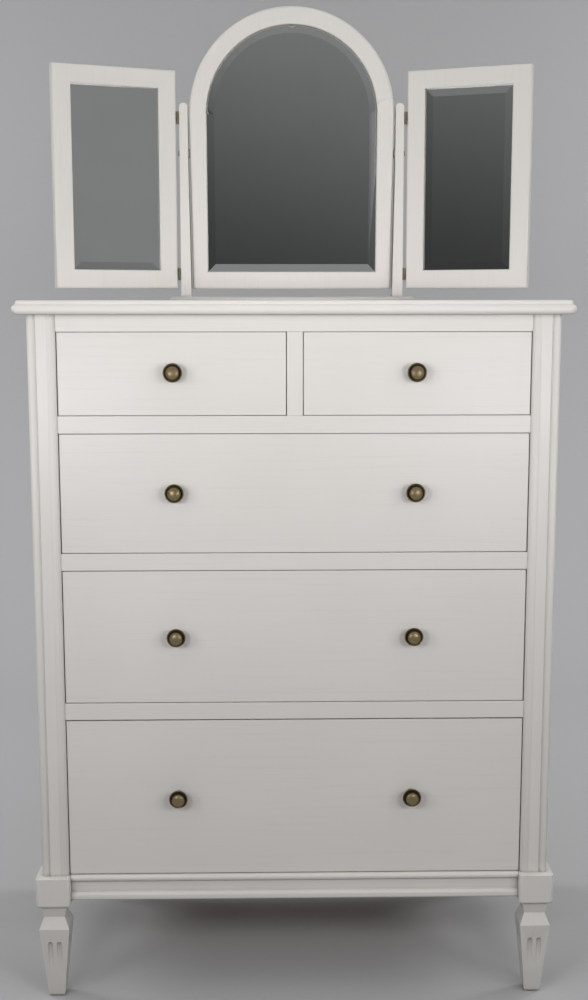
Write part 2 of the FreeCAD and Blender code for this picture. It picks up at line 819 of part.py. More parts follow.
def make_drawer(name, left, right, floor, row, knob_places):
    """One drawer: inset front, two sides and a back, a grooved-in bottom and its knobs."""
    width = f"(({right}) - ({left}))"
    row_height = row + "_height"
    front = new_body(name + "_front")
    face = rectangle("0", f"{width} - 2 * front_gap", "0", f"{row_height} - sill_gap - {row}_gap")
    pad(front, outline(new_sketch(front, "front"), face), "front_thickness", reverse=True)
    dress(front, "Fillet", lambda edge: lies_in(edge, "Y", 0), Radius="front_round")
    holes = new_sketch(front, "front")
    knob_level = f"{row_height} / 2 - sill_gap + knob_rise"
    for knob_place in knob_places:
        circle(holes, f"({knob_place}) - ({left}) - front_gap", knob_level, "bolt_radius + bolt_clearance")
    pocket(front, holes)
    slot_low = "bottom_raise + running_gap - sill_gap"
    slot = rectangle("side_gap - front_gap + wall_thickness - bottom_groove",
                     f"{width} - side_gap - front_gap - wall_thickness + bottom_groove",
                     slot_low, f"{slot_low} + bottom_thickness")
    pocket(front, outline(new_sketch(front, "front", "bottom_groove - front_thickness"), slot))
    place(front, f"{left} + front_gap", "drawer_face", f"{floor} + sill_gap")
    node(front, name + "_front")

    wall_start = "drawer_face + front_thickness"
    run = (wall_start, "drawer_end")
    low = f"{floor} + running_gap"
    bottom = f"{low} + bottom_raise"
    height = (low, f"{floor} + {row_height} - wall_drop")
    outer = (f"{left} + side_gap", f"{right} - side_gap")
    inner = (f"{outer[0]} + wall_thickness", f"{outer[1]} - wall_thickness")
    tray = (f"{inner[0]} - bottom_groove", f"{inner[1]} + bottom_groove")
    bottom_span = (bottom, f"{bottom} + bottom_thickness")
    walls = []
    for side, span, groove in (("left", (outer[0], inner[0]), (tray[0], inner[0])),
                               ("right", (inner[1], outer[1]), (inner[1], tray[1]))):
        plank = span_box(f"{name}_{side}_plank", span, run, height)
        channel = span_box(f"{name}_{side}_channel", groove, run, bottom_span)
        walls.append(cut_from(f"{name}_{side}_wall", plank, channel))
    walls.append(span_box(f"{name}_back_wall", inner, ("drawer_end - wall_thickness", "drawer_end"),
                          (f"{bottom} + bottom_thickness", height[1])))
    node(group(name + "_walls", walls), name + "_walls")
    floor_run = (f"{wall_start} - bottom_groove", "drawer_end")
    node(span_box(name + "_bottom", tray, floor_run, bottom_span), name + "_bottom")

    pieces = []
    for index, knob_place in enumerate(knob_places):
        level = f"{floor} + {row_height} / 2 + knob_rise"
        pieces += make_knob(f"{name}_knob_{index}", knob_place, level)
    node(group(name + "_knobs", pieces), name + "_knobs")


def make_knob(name, x, z):
    """A turned knob, its domed face in a shallow dish, and the bolt that holds it from inside."""
    knob = new_body(name)
    dome = "(knob_face_width * knob_face_width / 4 + knob_dome * knob_dome) / (2 * knob_dome)"
    section = outline(new_sketch(knob, "top"), [
        ("bolt_radius", "0"),
        ("bolt_radius", "-bolt_bite"),
        ("0", "-bolt_bite"),
        ("0", "-knob_reach"),
        ("knob_face_width / 2", "knob_dome - knob_reach", dome, "left"),
        ("knob_face_width / 2", "-knob_dish_reach"),
        ("knob_width / 2", "-knob_rim_reach"),
        ("knob_width / 2", "knob_rim_height - knob_rim_reach"),
        ("knob_stem_width / 2", "-2 * rose_height", "knob_width / 2", "right"),
        ("knob_stem_width / 2", "-rose_height"),
        ("rose_width / 2", "-rose_height"),
        ("rose_width / 2", "0"),
    ])
    turning = knob.newObject("PartDesign::Revolution", name + "_turning")
    turning.Profile = section
    turning.ReferenceAxis = (section, ["V_Axis"])
    turning.Angle = FULL_TURN
    place(knob, x, "drawer_face", z)
    head = cylinder(name + "_bolt_head", "bolt_head_radius", "bolt_head_height",
                    y="front_thickness + bolt_head_height", axis=-BACK)
    shank = cylinder(name + "_bolt_shank", "bolt_radius", "front_thickness + bolt_bite",
                     y="front_thickness", axis=-BACK)
    bolt = place(joined(name + "_bolt", [head, shank]), x, "drawer_face", z)
    return [knob, bolt]


def make_drawers():
    """Two small drawers side by side over three wide ones."""
    stile = "stile_width / 2"
    make_drawer("top_left_drawer", "-post_inner", f"-{stile}", "top_row_floor", "top_row",
                ["-knob_offset"])
    make_drawer("top_right_drawer", stile, "post_inner", "top_row_floor", "top_row",
                ["knob_offset"])
    for name, floor, row in (
            ("upper_drawer", "upper_row_floor", "upper_row"),
            ("middle_drawer", "middle_row_floor", "middle_row"),
            ("bottom_drawer", "carcass_bottom", "bottom_row")):
        make_drawer(name, "-post_inner", "post_inner", floor, row, ["-knob_offset", "knob_offset"])


def make_mirror_stand():
    """Base board, two round-topped posts that grow wider and deeper downwards, and the pivots' washers."""
    base = new_body("mirror_base")
    plan = rectangle("-base_width / 2", "base_width / 2", "-base_depth / 2", "base_depth / 2")
    pad(base, outline(new_sketch(base, "top"), plan), "base_thickness")
    dress(base, "Fillet", lambda edge: lies_in(edge, "Z", number("base_thickness")), Radius="base_round")
    place(base, y="mirror_centre", z="top_surface")
    node(base, "mirror_base")

    half, top = "mirror_post_width / 2", "(mirror_post_top - base_thickness)"
    wide = f"({half} + mirror_post_swell)"
    knee = "pivot_height - base_thickness - washer_radius"
    posts, washers = [], []
    for side, sign in (("left", "-"), ("right", "")):
        post = new_body("mirror_post_" + side)
        head = [(half, f"{top} - {half}"), ("0", top, half, "left"),
                (f"-{half}", f"{top} - {half}", half, "left")]
        if side == "left":
            face = [(f"-{half}", "0"), (wide, "0"), (half, knee), *head]
        else:
            face = [(f"-{wide}", "0"), (half, "0"), *head, (f"-{half}", knee)]
        pad(post, outline(new_sketch(post, "front"), face), "mirror_post_foot_depth", reverse=True)
        slope = [("mirror_post_foot_depth", "0"), ("mirror_post_foot_depth", top), ("mirror_post_depth", top)]
        pocket(post, outline(new_sketch(post, "side", f"-{wide}"), slope), f"2 * {wide}", reverse=True)
        bore = circle(new_sketch(post, "side", f"-{half}"), "mirror_post_depth / 2",
                      "pivot_height - base_thickness", "pin_radius + pin_clearance")
        pocket(post, bore, "mirror_post_width", reverse=True)
        place(post, f"{sign}(mirror_post_inner + {half})", "mirror_front", "top_surface + base_thickness")
        posts.append(post)
        inward = -ACROSS if side == "right" else ACROSS
        at = (f"{sign}mirror_post_inner", "mirror_centre", "pivot_level")
        disc, hole = (cylinder(f"washer_{part}_{side}", radius, "pivot_gap - washer_play", *at, axis=inward)
                      for part, radius in (("disc", "washer_radius"), ("hole", "pin_radius + pin_clearance")))
        washers.append(cut_from("washer_" + side, disc, hole))
    node(group("mirror_posts", posts), "mirror_posts")
    node(group("pivot_washers", washers), "pivot_washers")


def arch(half, foot, rise, drop):
    """An outline with a round top: half its width above and at its foot, and both from the pivot."""
    spring = f"({rise}) - ({half})"
    return [
        (f"-({foot})", f"-({drop})"), (foot, f"-({drop})"), (half, spring),
        ("0", rise, half, "left"), (f"-({half})", spring, half, "left"),
    ]


def shrunk_arch(inset):
    """The centre mirror's outline, set in from the frame's edge; only that edge narrows downwards."""
    half = f"centre_width / 2 - ({inset})"
    foot = "centre_width / 2 - centre_foot_inset" if inset == "0" else half
    return arch(half, foot, f"centre_rise - ({inset})", f"centre_drop - ({inset})")


def wing_outline(side, inset):
    """A wing's outline seen from the front, its hinge at the origin, set in from its edge."""
    near, far = f"wing_gap / 2 + ({inset})", f"wing_gap / 2 + wing_width - ({inset})"
    if side == "left":
        near, far = f"-({far})", f"-({near})"
    return rectangle(near, far, inset, f"wing_height - ({inset})")


def make_mirror(name, shape, face, settle):
    """A frame with its bevelled glass and backing, all from one outline."""
    frame = new_body(name + "_frame")
    pad(frame, outline(new_sketch(frame, "front"), shape("0")), "frame_thickness", reverse=True)
    dress(frame, "Fillet", lambda edge: lies_in(edge, "Y", 0), Radius="frame_round")
    pocket(frame, outline(new_sketch(frame, "front"), shape(face)))
    seat = f"{face} - rebate_width"
    pocket(frame, outline(new_sketch(frame, "front", "-lip_thickness"), shape(seat)))
    across = [number(point[0]) for point in shape(face)]

    def on_lip(edge):
        """Whether an edge runs round the opening on the frame's face."""
        bounds = edge.BoundBox
        inside = min(across) - NEAR < bounds.XMin and bounds.XMax < max(across) + NEAR
        return inside and lies_in(edge, "Y", 0)

    dress(frame, "Chamfer", on_lip, Size="lip_bevel")
    settle(frame)
    node(frame, name + "_frame")

    play = f"{seat} + glass_play"
    glass = new_body(name + "_glass")
    pad(glass, outline(new_sketch(glass, "front", "-glass_place"), shape(play)), "glass_thickness",
        reverse=True)
    dress(glass, "Chamfer", lambda edge: lies_in(edge, "Y", number("glass_place")),
          Size="glass_bevel_depth", Size2="glass_bevel")
    settle(glass)
    node(glass, name + "_glass")
    backing = new_body(name + "_backing")
    pad(backing, outline(new_sketch(backing, "front", "-backing_place"), shape(play)), "backing_thickness",
        reverse=True)
    settle(backing)
    node(backing, name + "_backing")
    return frame


def make_centre_mirror():
    """The arched centre mirror that tilts on two pins between the posts."""
    def settle(thing):
        """Hang a piece on the pivots at the tilt that it is shown with."""
        turn(thing, ACROSS, "tilt_angle")
        place(thing, y="mirror_centre - frame_thickness / 2 * cos(tilt_angle)",
              z="pivot_level - frame_thickness / 2 * sin(tilt_angle)")

    frame = make_mirror("centre", shrunk_arch, "centre_face", settle)
    for sign in ("-", ""):
        hole = circle(new_sketch(frame, "side", f"{sign}centre_width / 2"),
                      "frame_thickness / 2", "0", "pin_radius")
        pocket(frame, hole, "pin_bite", reverse=bool(sign))
    pins = []
    reach = "pivot_gap + mirror_post_width + washer_play"
    for side, sign, axis in (("left", "-", -ACROSS), ("right", "", ACROSS)):
        start = f"{sign}(centre_width / 2 - pin_bite)"
        shank = cylinder("pin_shank_" + side, "pin_radius", f"pin_bite + {reach}",
                         start, "mirror_centre", "pivot_level", axis=axis)
        head = cylinder("pin_head_" + side, "pin_head_radius", "pin_head_height",
                        f"{sign}(centre_width / 2 + {reach})", "mirror_centre", "pivot_level", axis=axis)
        pins.append(joined("pin_" + side, [shank, head]))
    node(group("pivot_pins", pins), "pivot_pins")


def make_wings():
    """Two rectangular wings on small butt hinges at the posts' outer faces."""
    fixed = []
    for side, sign in (("left", "-"), ("right", "")):
        def settle(thing, level="wing_bottom"):
            """Hang a piece on its hinge at the angle that it is shown with."""
            turn(thing, UP if side == "left" else -UP, "open_angle")
            place(thing, f"{sign}hinge_place", "mirror_front", level)

        make_mirror("wing_" + side, lambda inset: wing_outline(side, inset), "wing_face", settle)
        moving = []
        for name in ("lower", "upper"):
            level = name + "_hinge_level"
            leaf = hinge_leaf(f"{name}_{side}_wing_leaf", side == "right", True)
            settle(leaf, level)
            moving.append(leaf)
            fixed.append(place(hinge_leaf(f"{name}_{side}_post_leaf", side == "left", False),
                               f"{sign}hinge_place", "mirror_front", level))
        node(group(f"wing_{side}_hinge_leaves", moving), f"wing_{side}_hinge_leaves")
    node(group("hinge_post_leaves", fixed), "hinge_post_leaves")


def hinge_leaf(name, to_right, moving):
    """A butt hinge's leaf about its pin: the middle knuckle moves, the outer two hold the pin."""
    third = "hinge_length / 3"
    ends = [("-hinge_length / 2", f"-{third} / 2 - knuckle_gap / 2"),
            (f"-{third} / 2 + knuckle_gap / 2", f"{third} / 2 - knuckle_gap / 2"),
            (f"{third} / 2 + knuckle_gap / 2", "hinge_length / 2")]
    knuckles = ends[1:2] if moving else ends[::2]
    sign = "" if to_right else "-"
    leaf_span = [f"{sign}(wing_gap / 2 - leaf_thickness)", f"{sign}(wing_gap / 2)"]
    leaf_span = leaf_span if to_right else leaf_span[::-1]
    pieces = [span_box(name + "_plate", leaf_span, ("leaf_start", "leaf_depth"),
                       ("-hinge_length / 2", "hinge_length / 2"))]
    for index, (low, high) in enumerate(knuckles):
        pieces.append(cylinder(f"{name}_knuckle_{index}", "knuckle_radius", f"({high}) - ({low})", z=low))
        pieces.append(span_box(f"{name}_tab_{index}", leaf_span, ("0", "leaf_start"), (low, high)))
    if not moving:
        pieces.append(cylinder(name + "_pin", "hinge_pin_radius", "hinge_length", z="-hinge_length / 2"))
        return joined(name, pieces)
    bore = cylinder(name + "_bore", "hinge_pin_radius + pin_clearance", "hinge_length",
                    z="-hinge_length / 2")
    return cut_from(name, joined(name + "_solid", pieces), bore)


def check_model():
    """Stop if any object failed or any piece is not a sound solid."""
    for thing in document.Objects:
        if {"Invalid", "Error"} & set(thing.State):
            raise RuntimeError(f"{thing.Label} failed: {thing.State}")
    for name, thing in nodes.items():
        shape = thing.Shape
        if shape.isNull() or not shape.isValid() or not shape.Solids:
            raise RuntimeError(f"{name} has no sound shape")


def write_nodes():
    """Write each piece to its own file."""
    os.makedirs(NODE_FOLDER, exist_ok=True)
    for name, thing in nodes.items():
        thing.Shape.exportStep(os.path.join(NODE_FOLDER, name + ".step"))


fill_sheet("Sizes", [(alias, str(size)) for alias, size in SIZES.items()])
fill_sheet("Places", [(alias, "=" + scoped(formula, places="")) for alias, formula in PLACES.items()])
make_top_board()
make_posts()
make_legs()
make_panels()
make_rails()
make_runners()
make_plinth()
make_screws()
make_drawers()
make_mirror_stand()
make_centre_mirror()
make_wings()
document.recompute()
check_model()
write_nodes()
print(f"{len(nodes)} nodes")
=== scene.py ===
"""A painted chest of drawers with a triple dressing mirror, dressed for its portrait.

Each sub-assembly is a class that finishes its own pieces. Node recipes grow the turned knobs with
their bolts and the slotted screws. The studio lights the chest and looks at it from the place that
the photograph was taken from.
"""

from __future__ import annotations

import json
import logging
import math
from dataclasses import dataclass, field
from enum import Enum

import bmesh
import bpy
from mathutils import Matrix, Vector

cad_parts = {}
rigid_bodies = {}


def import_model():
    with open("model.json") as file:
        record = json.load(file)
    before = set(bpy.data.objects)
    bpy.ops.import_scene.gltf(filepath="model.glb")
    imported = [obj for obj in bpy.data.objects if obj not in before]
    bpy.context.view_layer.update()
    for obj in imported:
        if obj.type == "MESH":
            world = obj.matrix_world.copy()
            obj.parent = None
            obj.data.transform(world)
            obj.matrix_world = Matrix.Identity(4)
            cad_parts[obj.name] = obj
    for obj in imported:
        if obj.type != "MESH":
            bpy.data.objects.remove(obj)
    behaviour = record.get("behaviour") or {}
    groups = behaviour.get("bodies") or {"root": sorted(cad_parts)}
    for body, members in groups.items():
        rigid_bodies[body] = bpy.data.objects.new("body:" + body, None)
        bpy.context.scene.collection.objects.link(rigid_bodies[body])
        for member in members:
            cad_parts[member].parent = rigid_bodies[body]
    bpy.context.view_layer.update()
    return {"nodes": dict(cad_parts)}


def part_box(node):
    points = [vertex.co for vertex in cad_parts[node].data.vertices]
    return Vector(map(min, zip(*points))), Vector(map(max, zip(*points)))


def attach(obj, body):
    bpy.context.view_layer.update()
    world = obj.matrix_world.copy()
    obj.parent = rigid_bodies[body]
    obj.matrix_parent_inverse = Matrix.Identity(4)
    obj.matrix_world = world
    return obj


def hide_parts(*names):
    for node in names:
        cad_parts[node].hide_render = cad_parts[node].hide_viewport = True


log = logging.getLogger("dressing_chest")

Colour = tuple[float, float, float]
Point = tuple[float, float, float]
Socket = bpy.types.NodeSocket
Material = bpy.types.Material

PHOTO_WIDTH, PHOTO_HEIGHT = 588, 1000
DRAWERS = ("top_left_drawer", "top_right_drawer", "upper_drawer", "middle_drawer", "bottom_drawer")
MILLIMETRE = 0.001

# Lengths are in metres and angles in degrees.
WELD_DISTANCE = 0.00001
FLAT_ANGLE = 0.2
EASE_ANGLE = 40.0
EASE_STEPS = 3
SMOOTH_ANGLE = 35.0

# The colour sockets of a Mix node share their names with others, so they go by number.
MIX_FIRST, MIX_SECOND, MIX_RESULT = 6, 7, 2

PLAIN: Colour = (1.0, 1.0, 1.0)
WHITE: Colour = (0.735, 0.712, 0.685)
WHITE_SHADE: Colour = (0.70, 0.675, 0.645)
FRAME_WHITE: Colour = (0.70, 0.67, 0.64)
FRAME_SHADE: Colour = (0.665, 0.635, 0.60)
PINE_LIGHT: Colour = (0.62, 0.45, 0.27)
PINE_DARK: Colour = (0.52, 0.355, 0.195)


class Grain(Enum):
    """The axis that the wood's fibres run along."""

    ACROSS = "X"
    DEEP = "Y"
    UPRIGHT = "Z"


class Kind(Enum):
    """What an input of a recipe takes."""

    NUMBER = "NodeSocketFloat"
    VECTOR = "NodeSocketVector"
    OBJECT = "NodeSocketObject"
    MATERIAL = "NodeSocketMaterial"


class Outward(Enum):
    """The way that a screw's head faces."""

    BACK = (1, (math.pi / 2, 0.0, 0.0))
    DOWN = (2, (0.0, 0.0, 0.0))

    def __init__(self, axis: int, turn: Point) -> None:
        """Name the facts of a direction.

        Args:
            axis: Number of the axis that the screw lies along.
            turn: The turn, in radians, of a screw that stands on its head.
        """
        self.axis = axis
        self.turn = turn


@dataclass(frozen=True)
class Pattern:
    """A noise, with its repeats per metre across the fibres and along them.

    A pattern without a value for along is as fine in every direction.
    """

    fine: float
    along: float | None = None
    detail: float = 3.0
    rough: float = 0.5
    warp: float = 0.0

    def scale(self, grain: Grain) -> Point:
        """Repeats per metre along X, Y and Z.

        Args:
            grain: The way the fibres run.

        Returns:
            One number for each axis.
        """
        along = self.fine if self.along is None else self.along
        return tuple(along if axis == grain.value else self.fine for axis in "XYZ")


@dataclass(frozen=True)
class StainOrShade:
    """A darker colour, a real stain or painted shade, that is full where a pattern is under one value and
    gone over another.
    """

    colour: Colour
    full: float
    gone: float
    share: float


class NodeTree:
    """A node tree that is built in steps."""

    def __init__(self, tree: bpy.types.NodeTree) -> None:
        """Clear a tree and take it up.

        Args:
            tree: The tree to build in.
        """
        self.tree = tree
        self.tree.nodes.clear()

    def add(self, kind: str, **settings: object) -> bpy.types.Node:
        """Add a node.

        Args:
            kind: The node's type.
            **settings: Properties of the node.

        Returns:
            The new node.
        """
        node = self.tree.nodes.new(kind)
        for key, value in settings.items():
            setattr(node, key, value)
        return node

    def join(self, value: object, socket: Socket) -> None:
        """Link a socket to an input, or write a plain value there.

        Args:
            value: A socket, a colour or another plain value.
            socket: The input.
        """
        if isinstance(value, bpy.types.NodeSocket):
            self.tree.links.new(value, socket)
        elif socket.type == "RGBA":
            socket.default_value = (*value, 1.0)
        else:
            socket.default_value = value

    def feed(self, node: bpy.types.Node, **values: object) -> bpy.types.Node:
        """Link or set a node's inputs.

        Args:
            node: The node to feed.
            **values: Input names, with spaces as underscores, and a socket or a plain value for each.

        Returns:
            The same node.
        """
        for key, value in values.items():
            self.join(value, node.inputs[key.replace("_", " ")])
        return node

    def reckon(self, operation: str, *values: object, use_clamp: bool = False) -> Socket:
        """Work out a number.

        Args:
            operation: The calculation, such as MULTIPLY.
            *values: The sockets and numbers that go in, in their order.
            use_clamp: Whether the result is kept between 0 and 1.

        Returns:
            The result.
        """
        node = self.add("ShaderNodeMath", operation=operation, use_clamp=use_clamp)
        for value, socket in zip(values, node.inputs):
            self.join(value, socket)
        return node.outputs[0]


class Shader(NodeTree):
    """The nodes of one material, with patterns on object coordinates."""

    def __init__(self, name: str) -> None:
        """Start a material with its surface shader.

        Args:
            name: The material's name.
        """
        self.material = bpy.data.materials.new(name)
        self.material.use_nodes = True
        super().__init__(self.material.node_tree)
        self.output = self.add("ShaderNodeOutputMaterial")
        self.surface = self.add("ShaderNodeBsdfPrincipled")
        self.join(self.surface.outputs["BSDF"], self.output.inputs["Surface"])
        self.place = self.add("ShaderNodeTexCoord").outputs["Object"]

    def stretched(self, scale: Point) -> Socket:
        """Scale the object coordinates differently along each axis.

        Args:
            scale: The scale along X, Y and Z.

        Returns:
            The scaled coordinates.
        """
        mapping = self.feed(self.add("ShaderNodeMapping"), Vector=self.place, Scale=scale)
        return mapping.outputs["Vector"]

    def noise(self, pattern: Pattern, grain: Grain = Grain.UPRIGHT) -> Socket:
        """Lay a noise over the object.

        Args:
            pattern: The noise.
            grain: The way the fibres run.

        Returns:
            The noise's value, about 0.5 on average.
        """
        texture = self.feed(self.add("ShaderNodeTexNoise"), Vector=self.stretched(pattern.scale(grain)),
                            Scale=1.0, Detail=pattern.detail, Roughness=pattern.rough,
                            Distortion=pattern.warp)
        return texture.outputs["Fac"]

    def fade(self, factor: Socket, first: Colour, second: Colour, start: float = 0.3,
             end: float = 0.7) -> Socket:
        """Go from one colour to another along a factor.

        Args:
            factor: The value that picks the colour.
            first: The colour up to the start.
            second: The colour past the end.
            start: The factor at which the change begins.
            end: The factor at which it is done.

        Returns:
            The colour.
        """
        node = self.feed(self.add("ShaderNodeValToRGB"), Fac=factor)
        for element, position, colour in zip(node.color_ramp.elements, (start, end), (first, second)):
            element.position = position
            element.color = (*colour, 1.0)
        return node.outputs["Color"]

    def blend(self, factor: Socket | float, first: Socket | Colour, second: Socket | Colour,
              kind: str = "MIX") -> Socket:
        """Mix two colours.

        Args:
            factor: Share of the second colour.
            first: The colour underneath.
            second: The colour on top.
            kind: The way of mixing.

        Returns:
            The mixed colour.
        """
        node = self.feed(self.add("ShaderNodeMix", data_type="RGBA", blend_type=kind), Factor=factor)
        self.join(first, node.inputs[MIX_FIRST])
        self.join(second, node.inputs[MIX_SECOND])
        return node.outputs[MIX_RESULT]

    def stained_or_shaded(self, tone: Socket, factor: Socket, stain: StainOrShade) -> Socket:
        """Darken a tone where a factor is low.

        Args:
            tone: The colour to darken.
            factor: The value that says where.
            stain: The stain.

        Returns:
            The darkened colour.
        """
        spots = self.fade(factor, stain.colour, PLAIN, stain.full, stain.gone)
        return self.blend(stain.share, tone, spots, "MULTIPLY")

    def span(self, factor: Socket, low: float, high: float) -> Socket:
        """Spread a value from 0 to 1 over another range.

        Args:
            factor: The value.
            low: What 0 becomes.
            high: What 1 becomes.

        Returns:
            The spread value.
        """
        node = self.feed(self.add("ShaderNodeMapRange"), Value=factor, To_Min=low, To_Max=high)
        return node.outputs["Result"]

    def relief(self, height: Socket, depth: float, under: Socket | None = None) -> Socket:
        """Raise and sink the surface a little.

        Args:
            height: The height from 0 to 1.
            depth: What 1 stands for, in metres.
            under: A coarser relief that this one lies on.

        Returns:
            The surface's new normal.
        """
        node = self.feed(self.add("ShaderNodeBump"), Strength=1.0, Distance=depth, Height=height)
        if under is not None:
            self.feed(node, Normal=under)
        return node.outputs["Normal"]

    def finished(self, **values: object) -> Material:
        """Feed the surface and hand over the material.

        Args:
            **values: The surface's inputs, as feed takes them.

        Returns:
            The material.
        """
        self.feed(self.surface, **values)
        return self.material


def darker(colour: Colour, share: float) -> Colour:
    """A share of a colour."""
    return tuple(share * part for part in colour)


@dataclass(frozen=True)
class Paint:
    """Brushed off-white furniture paint over wood, with painted shade in its corners and grooves."""

    name: str
    colour: Colour
    shade: Colour
    grain: Grain
    roughness: float = 0.42
    roughness_sway: float = 0.07
    cloud: Pattern = Pattern(3.0, detail=2.0)
    brush: Pattern = Pattern(260.0, 5.0, 4.0, 0.6, 0.3)
    pores: Pattern = Pattern(900.0, 28.0, 2.0, 0.7)
    peel: Pattern = Pattern(420.0, detail=1.0)
    shade_reach: float = 0.009
    shade_samples: int = 8
    painted_corner_shade: StainOrShade = StainOrShade((0.62, 0.60, 0.57), 0.3, 0.9, 1.0)
    brush_stain: StainOrShade = StainOrShade((0.955, 0.95, 0.945), 0.28, 0.45, 0.8)
    pore_stain: StainOrShade = StainOrShade((0.93, 0.925, 0.92), 0.2, 0.34, 0.6)
    brush_depth: float = 0.0001
    pore_depth: float = 0.00005
    peel_depth: float = 0.000025
    coat: float = 0.12
    coat_roughness: float = 0.25

    def material(self) -> Material:
        """Build the paint from broad tone, painted corner shade, brush marks, closed pores and a light
        peel.

        Returns:
            The material.
        """
        shader = Shader(self.name)
        brush = shader.noise(self.brush, self.grain)
        pores = shader.noise(self.pores, self.grain)
        # Ambient occlusion darkens the paint's colour in its corners, grooves and flutes: painted shade.
        corner = shader.feed(shader.add("ShaderNodeAmbientOcclusion", samples=self.shade_samples),
                             Distance=self.shade_reach)
        tone = shader.fade(shader.noise(self.cloud), self.shade, self.colour)
        tone = shader.stained_or_shaded(tone, corner.outputs["AO"], self.painted_corner_shade)
        tone = shader.stained_or_shaded(tone, brush, self.brush_stain)
        tone = shader.stained_or_shaded(tone, pores, self.pore_stain)
        normal = shader.relief(brush, self.brush_depth)
        normal = shader.relief(pores, self.pore_depth, normal)
        normal = shader.relief(shader.noise(self.peel), self.peel_depth, normal)
        sheen = shader.span(brush, self.roughness + self.roughness_sway,
                            self.roughness - self.roughness_sway)
        return shader.finished(Base_Color=tone, Roughness=sheen, Normal=normal, Coat_Weight=self.coat,
                               Coat_Roughness=self.coat_roughness)


@dataclass(frozen=True)
class BareWood:
    """Planed softwood with growth rings and a few darker fibres."""

    name: str
    light: Colour
    dark: Colour
    grain: Grain
    ring_scale: float = 24.0
    ring_finer_scale: float = 1.6
    rings: Pattern = Pattern(1.0, 0.06, warp=5.5)
    ring_start: float = 0.1
    ring_end: float = 0.9
    fibre: Pattern = Pattern(620.0, 9.0, 4.0, 0.6)
    fibre_stain: StainOrShade = StainOrShade((0.84, 0.8, 0.76), 0.3, 0.6, 0.7)
    fibre_depth: float = 0.0002
    rough_fibre: float = 0.7
    smooth_fibre: float = 0.55

    def material(self) -> Material:
        """Build the wood from rings and fibres.

        Returns:
            The material.
        """
        shader = Shader(self.name)
        wave = shader.feed(shader.add("ShaderNodeTexWave", wave_type="BANDS", bands_direction="DIAGONAL"),
                           Vector=shader.stretched(self.rings.scale(self.grain)), Scale=self.ring_scale,
                           Distortion=self.rings.warp, Detail=self.rings.detail,
                           Detail_Scale=self.ring_finer_scale)
        fibre = shader.noise(self.fibre, self.grain)
        tone = shader.fade(wave.outputs["Fac"], self.light, self.dark, self.ring_start, self.ring_end)
        return shader.finished(Base_Color=shader.stained_or_shaded(tone, fibre, self.fibre_stain),
                               Roughness=shader.span(fibre, self.rough_fibre, self.smooth_fibre),
                               Normal=shader.relief(fibre, self.fibre_depth))


@dataclass(frozen=True)
class PressedBoard:
    """Brown fibre board, smooth with fine speckles."""

    name: str
    colour: Colour
    dark: Colour
    cloud: Pattern = Pattern(6.0)
    speck: Pattern = Pattern(900.0, detail=2.0, rough=0.7)
    speck_stain: StainOrShade = StainOrShade((0.72, 0.68, 0.62), 0.35, 0.6, 0.6)
    speck_depth: float = 0.00008
    roughness: float = 0.6

    def material(self) -> Material:
        """Build the board from speckles and a soft cloud.

        Returns:
            The material.
        """
        shader = Shader(self.name)
        speck = shader.noise(self.speck)
        tone = shader.fade(shader.noise(self.cloud), self.dark, self.colour)
        return shader.finished(Base_Color=shader.stained_or_shaded(tone, speck, self.speck_stain),
                               Normal=shader.relief(speck, self.speck_depth), Roughness=self.roughness)


@dataclass(frozen=True)
class MirrorGlass:
    """Silvered plate glass with a trace of haze."""

    name: str
    colour: Colour = (0.83, 0.85, 0.85)
    hazy_share: float = 0.97
    haze: Pattern = Pattern(14.0)
    haze_roughness: float = 0.045

    def material(self) -> Material:
        """Build the silvering as a clean metal surface.

        Returns:
            The material.
        """
        shader = Shader(self.name)
        haze = shader.noise(self.haze)
        tone = shader.fade(haze, self.colour, darker(self.colour, self.hazy_share))
        return shader.finished(Base_Color=tone, Roughness=shader.span(haze, 0.0, self.haze_roughness),
                               Metallic=1.0)


@dataclass(frozen=True)
class AgedBrass:
    """Brass that has darkened in its hollows and stays golden where hands rub it."""

    name: str
    bright: Colour
    dark: Colour
    stain: Pattern = Pattern(900.0, detail=4.0, rough=0.6)
    stain_share: float = 0.5
    stain_depth: float = 0.00006
    rubbed_reach: float = 0.25
    rubbed_roughness: float = 0.2
    dull_roughness: float = 0.5
    metallic: float = 0.65

    def material(self) -> Material:
        """Build the metal, darkened by the piece's own patina attribute and by small stains.

        Returns:
            The material.
        """
        shader = Shader(self.name)
        patina = shader.add("ShaderNodeAttribute", attribute_name="patina").outputs["Fac"]
        stain = shader.noise(self.stain)
        cover = shader.reckon("MULTIPLY_ADD", stain, self.stain_share, patina, use_clamp=True)
        tone = shader.blend(shader.span(cover, -self.rubbed_reach, 1.0), self.bright, self.dark)
        return shader.finished(Base_Color=tone, Metallic=self.metallic,
                               Roughness=shader.span(cover, self.rubbed_roughness, self.dull_roughness),
                               Normal=shader.relief(stain, self.stain_depth))


@dataclass(frozen=True)
class PlainMetal:
    """Plated steel or satin brass of screws, pins and hinges, with fine scratches."""

    name: str
    colour: Colour
    roughness: float
    roughness_sway: float = 0.1
    worn_share: float = 0.72
    worn_start: float = 0.35
    worn_end: float = 0.6
    scratch: Pattern = Pattern(300.0, 2600.0, rough=0.6)
    scratch_depth: float = 0.00003

    def material(self) -> Material:
        """Build the metal.

        Returns:
            The material.
        """
        shader = Shader(self.name)
        scratch = shader.noise(self.scratch)
        tone = shader.fade(scratch, darker(self.colour, self.worn_share), self.colour, self.worn_start,
                           self.worn_end)
        sheen = shader.span(scratch, self.roughness + self.roughness_sway,
                            self.roughness - self.roughness_sway)
        return shader.finished(Base_Color=tone, Roughness=sheen, Metallic=1.0,
                               Normal=shader.relief(scratch, self.scratch_depth))


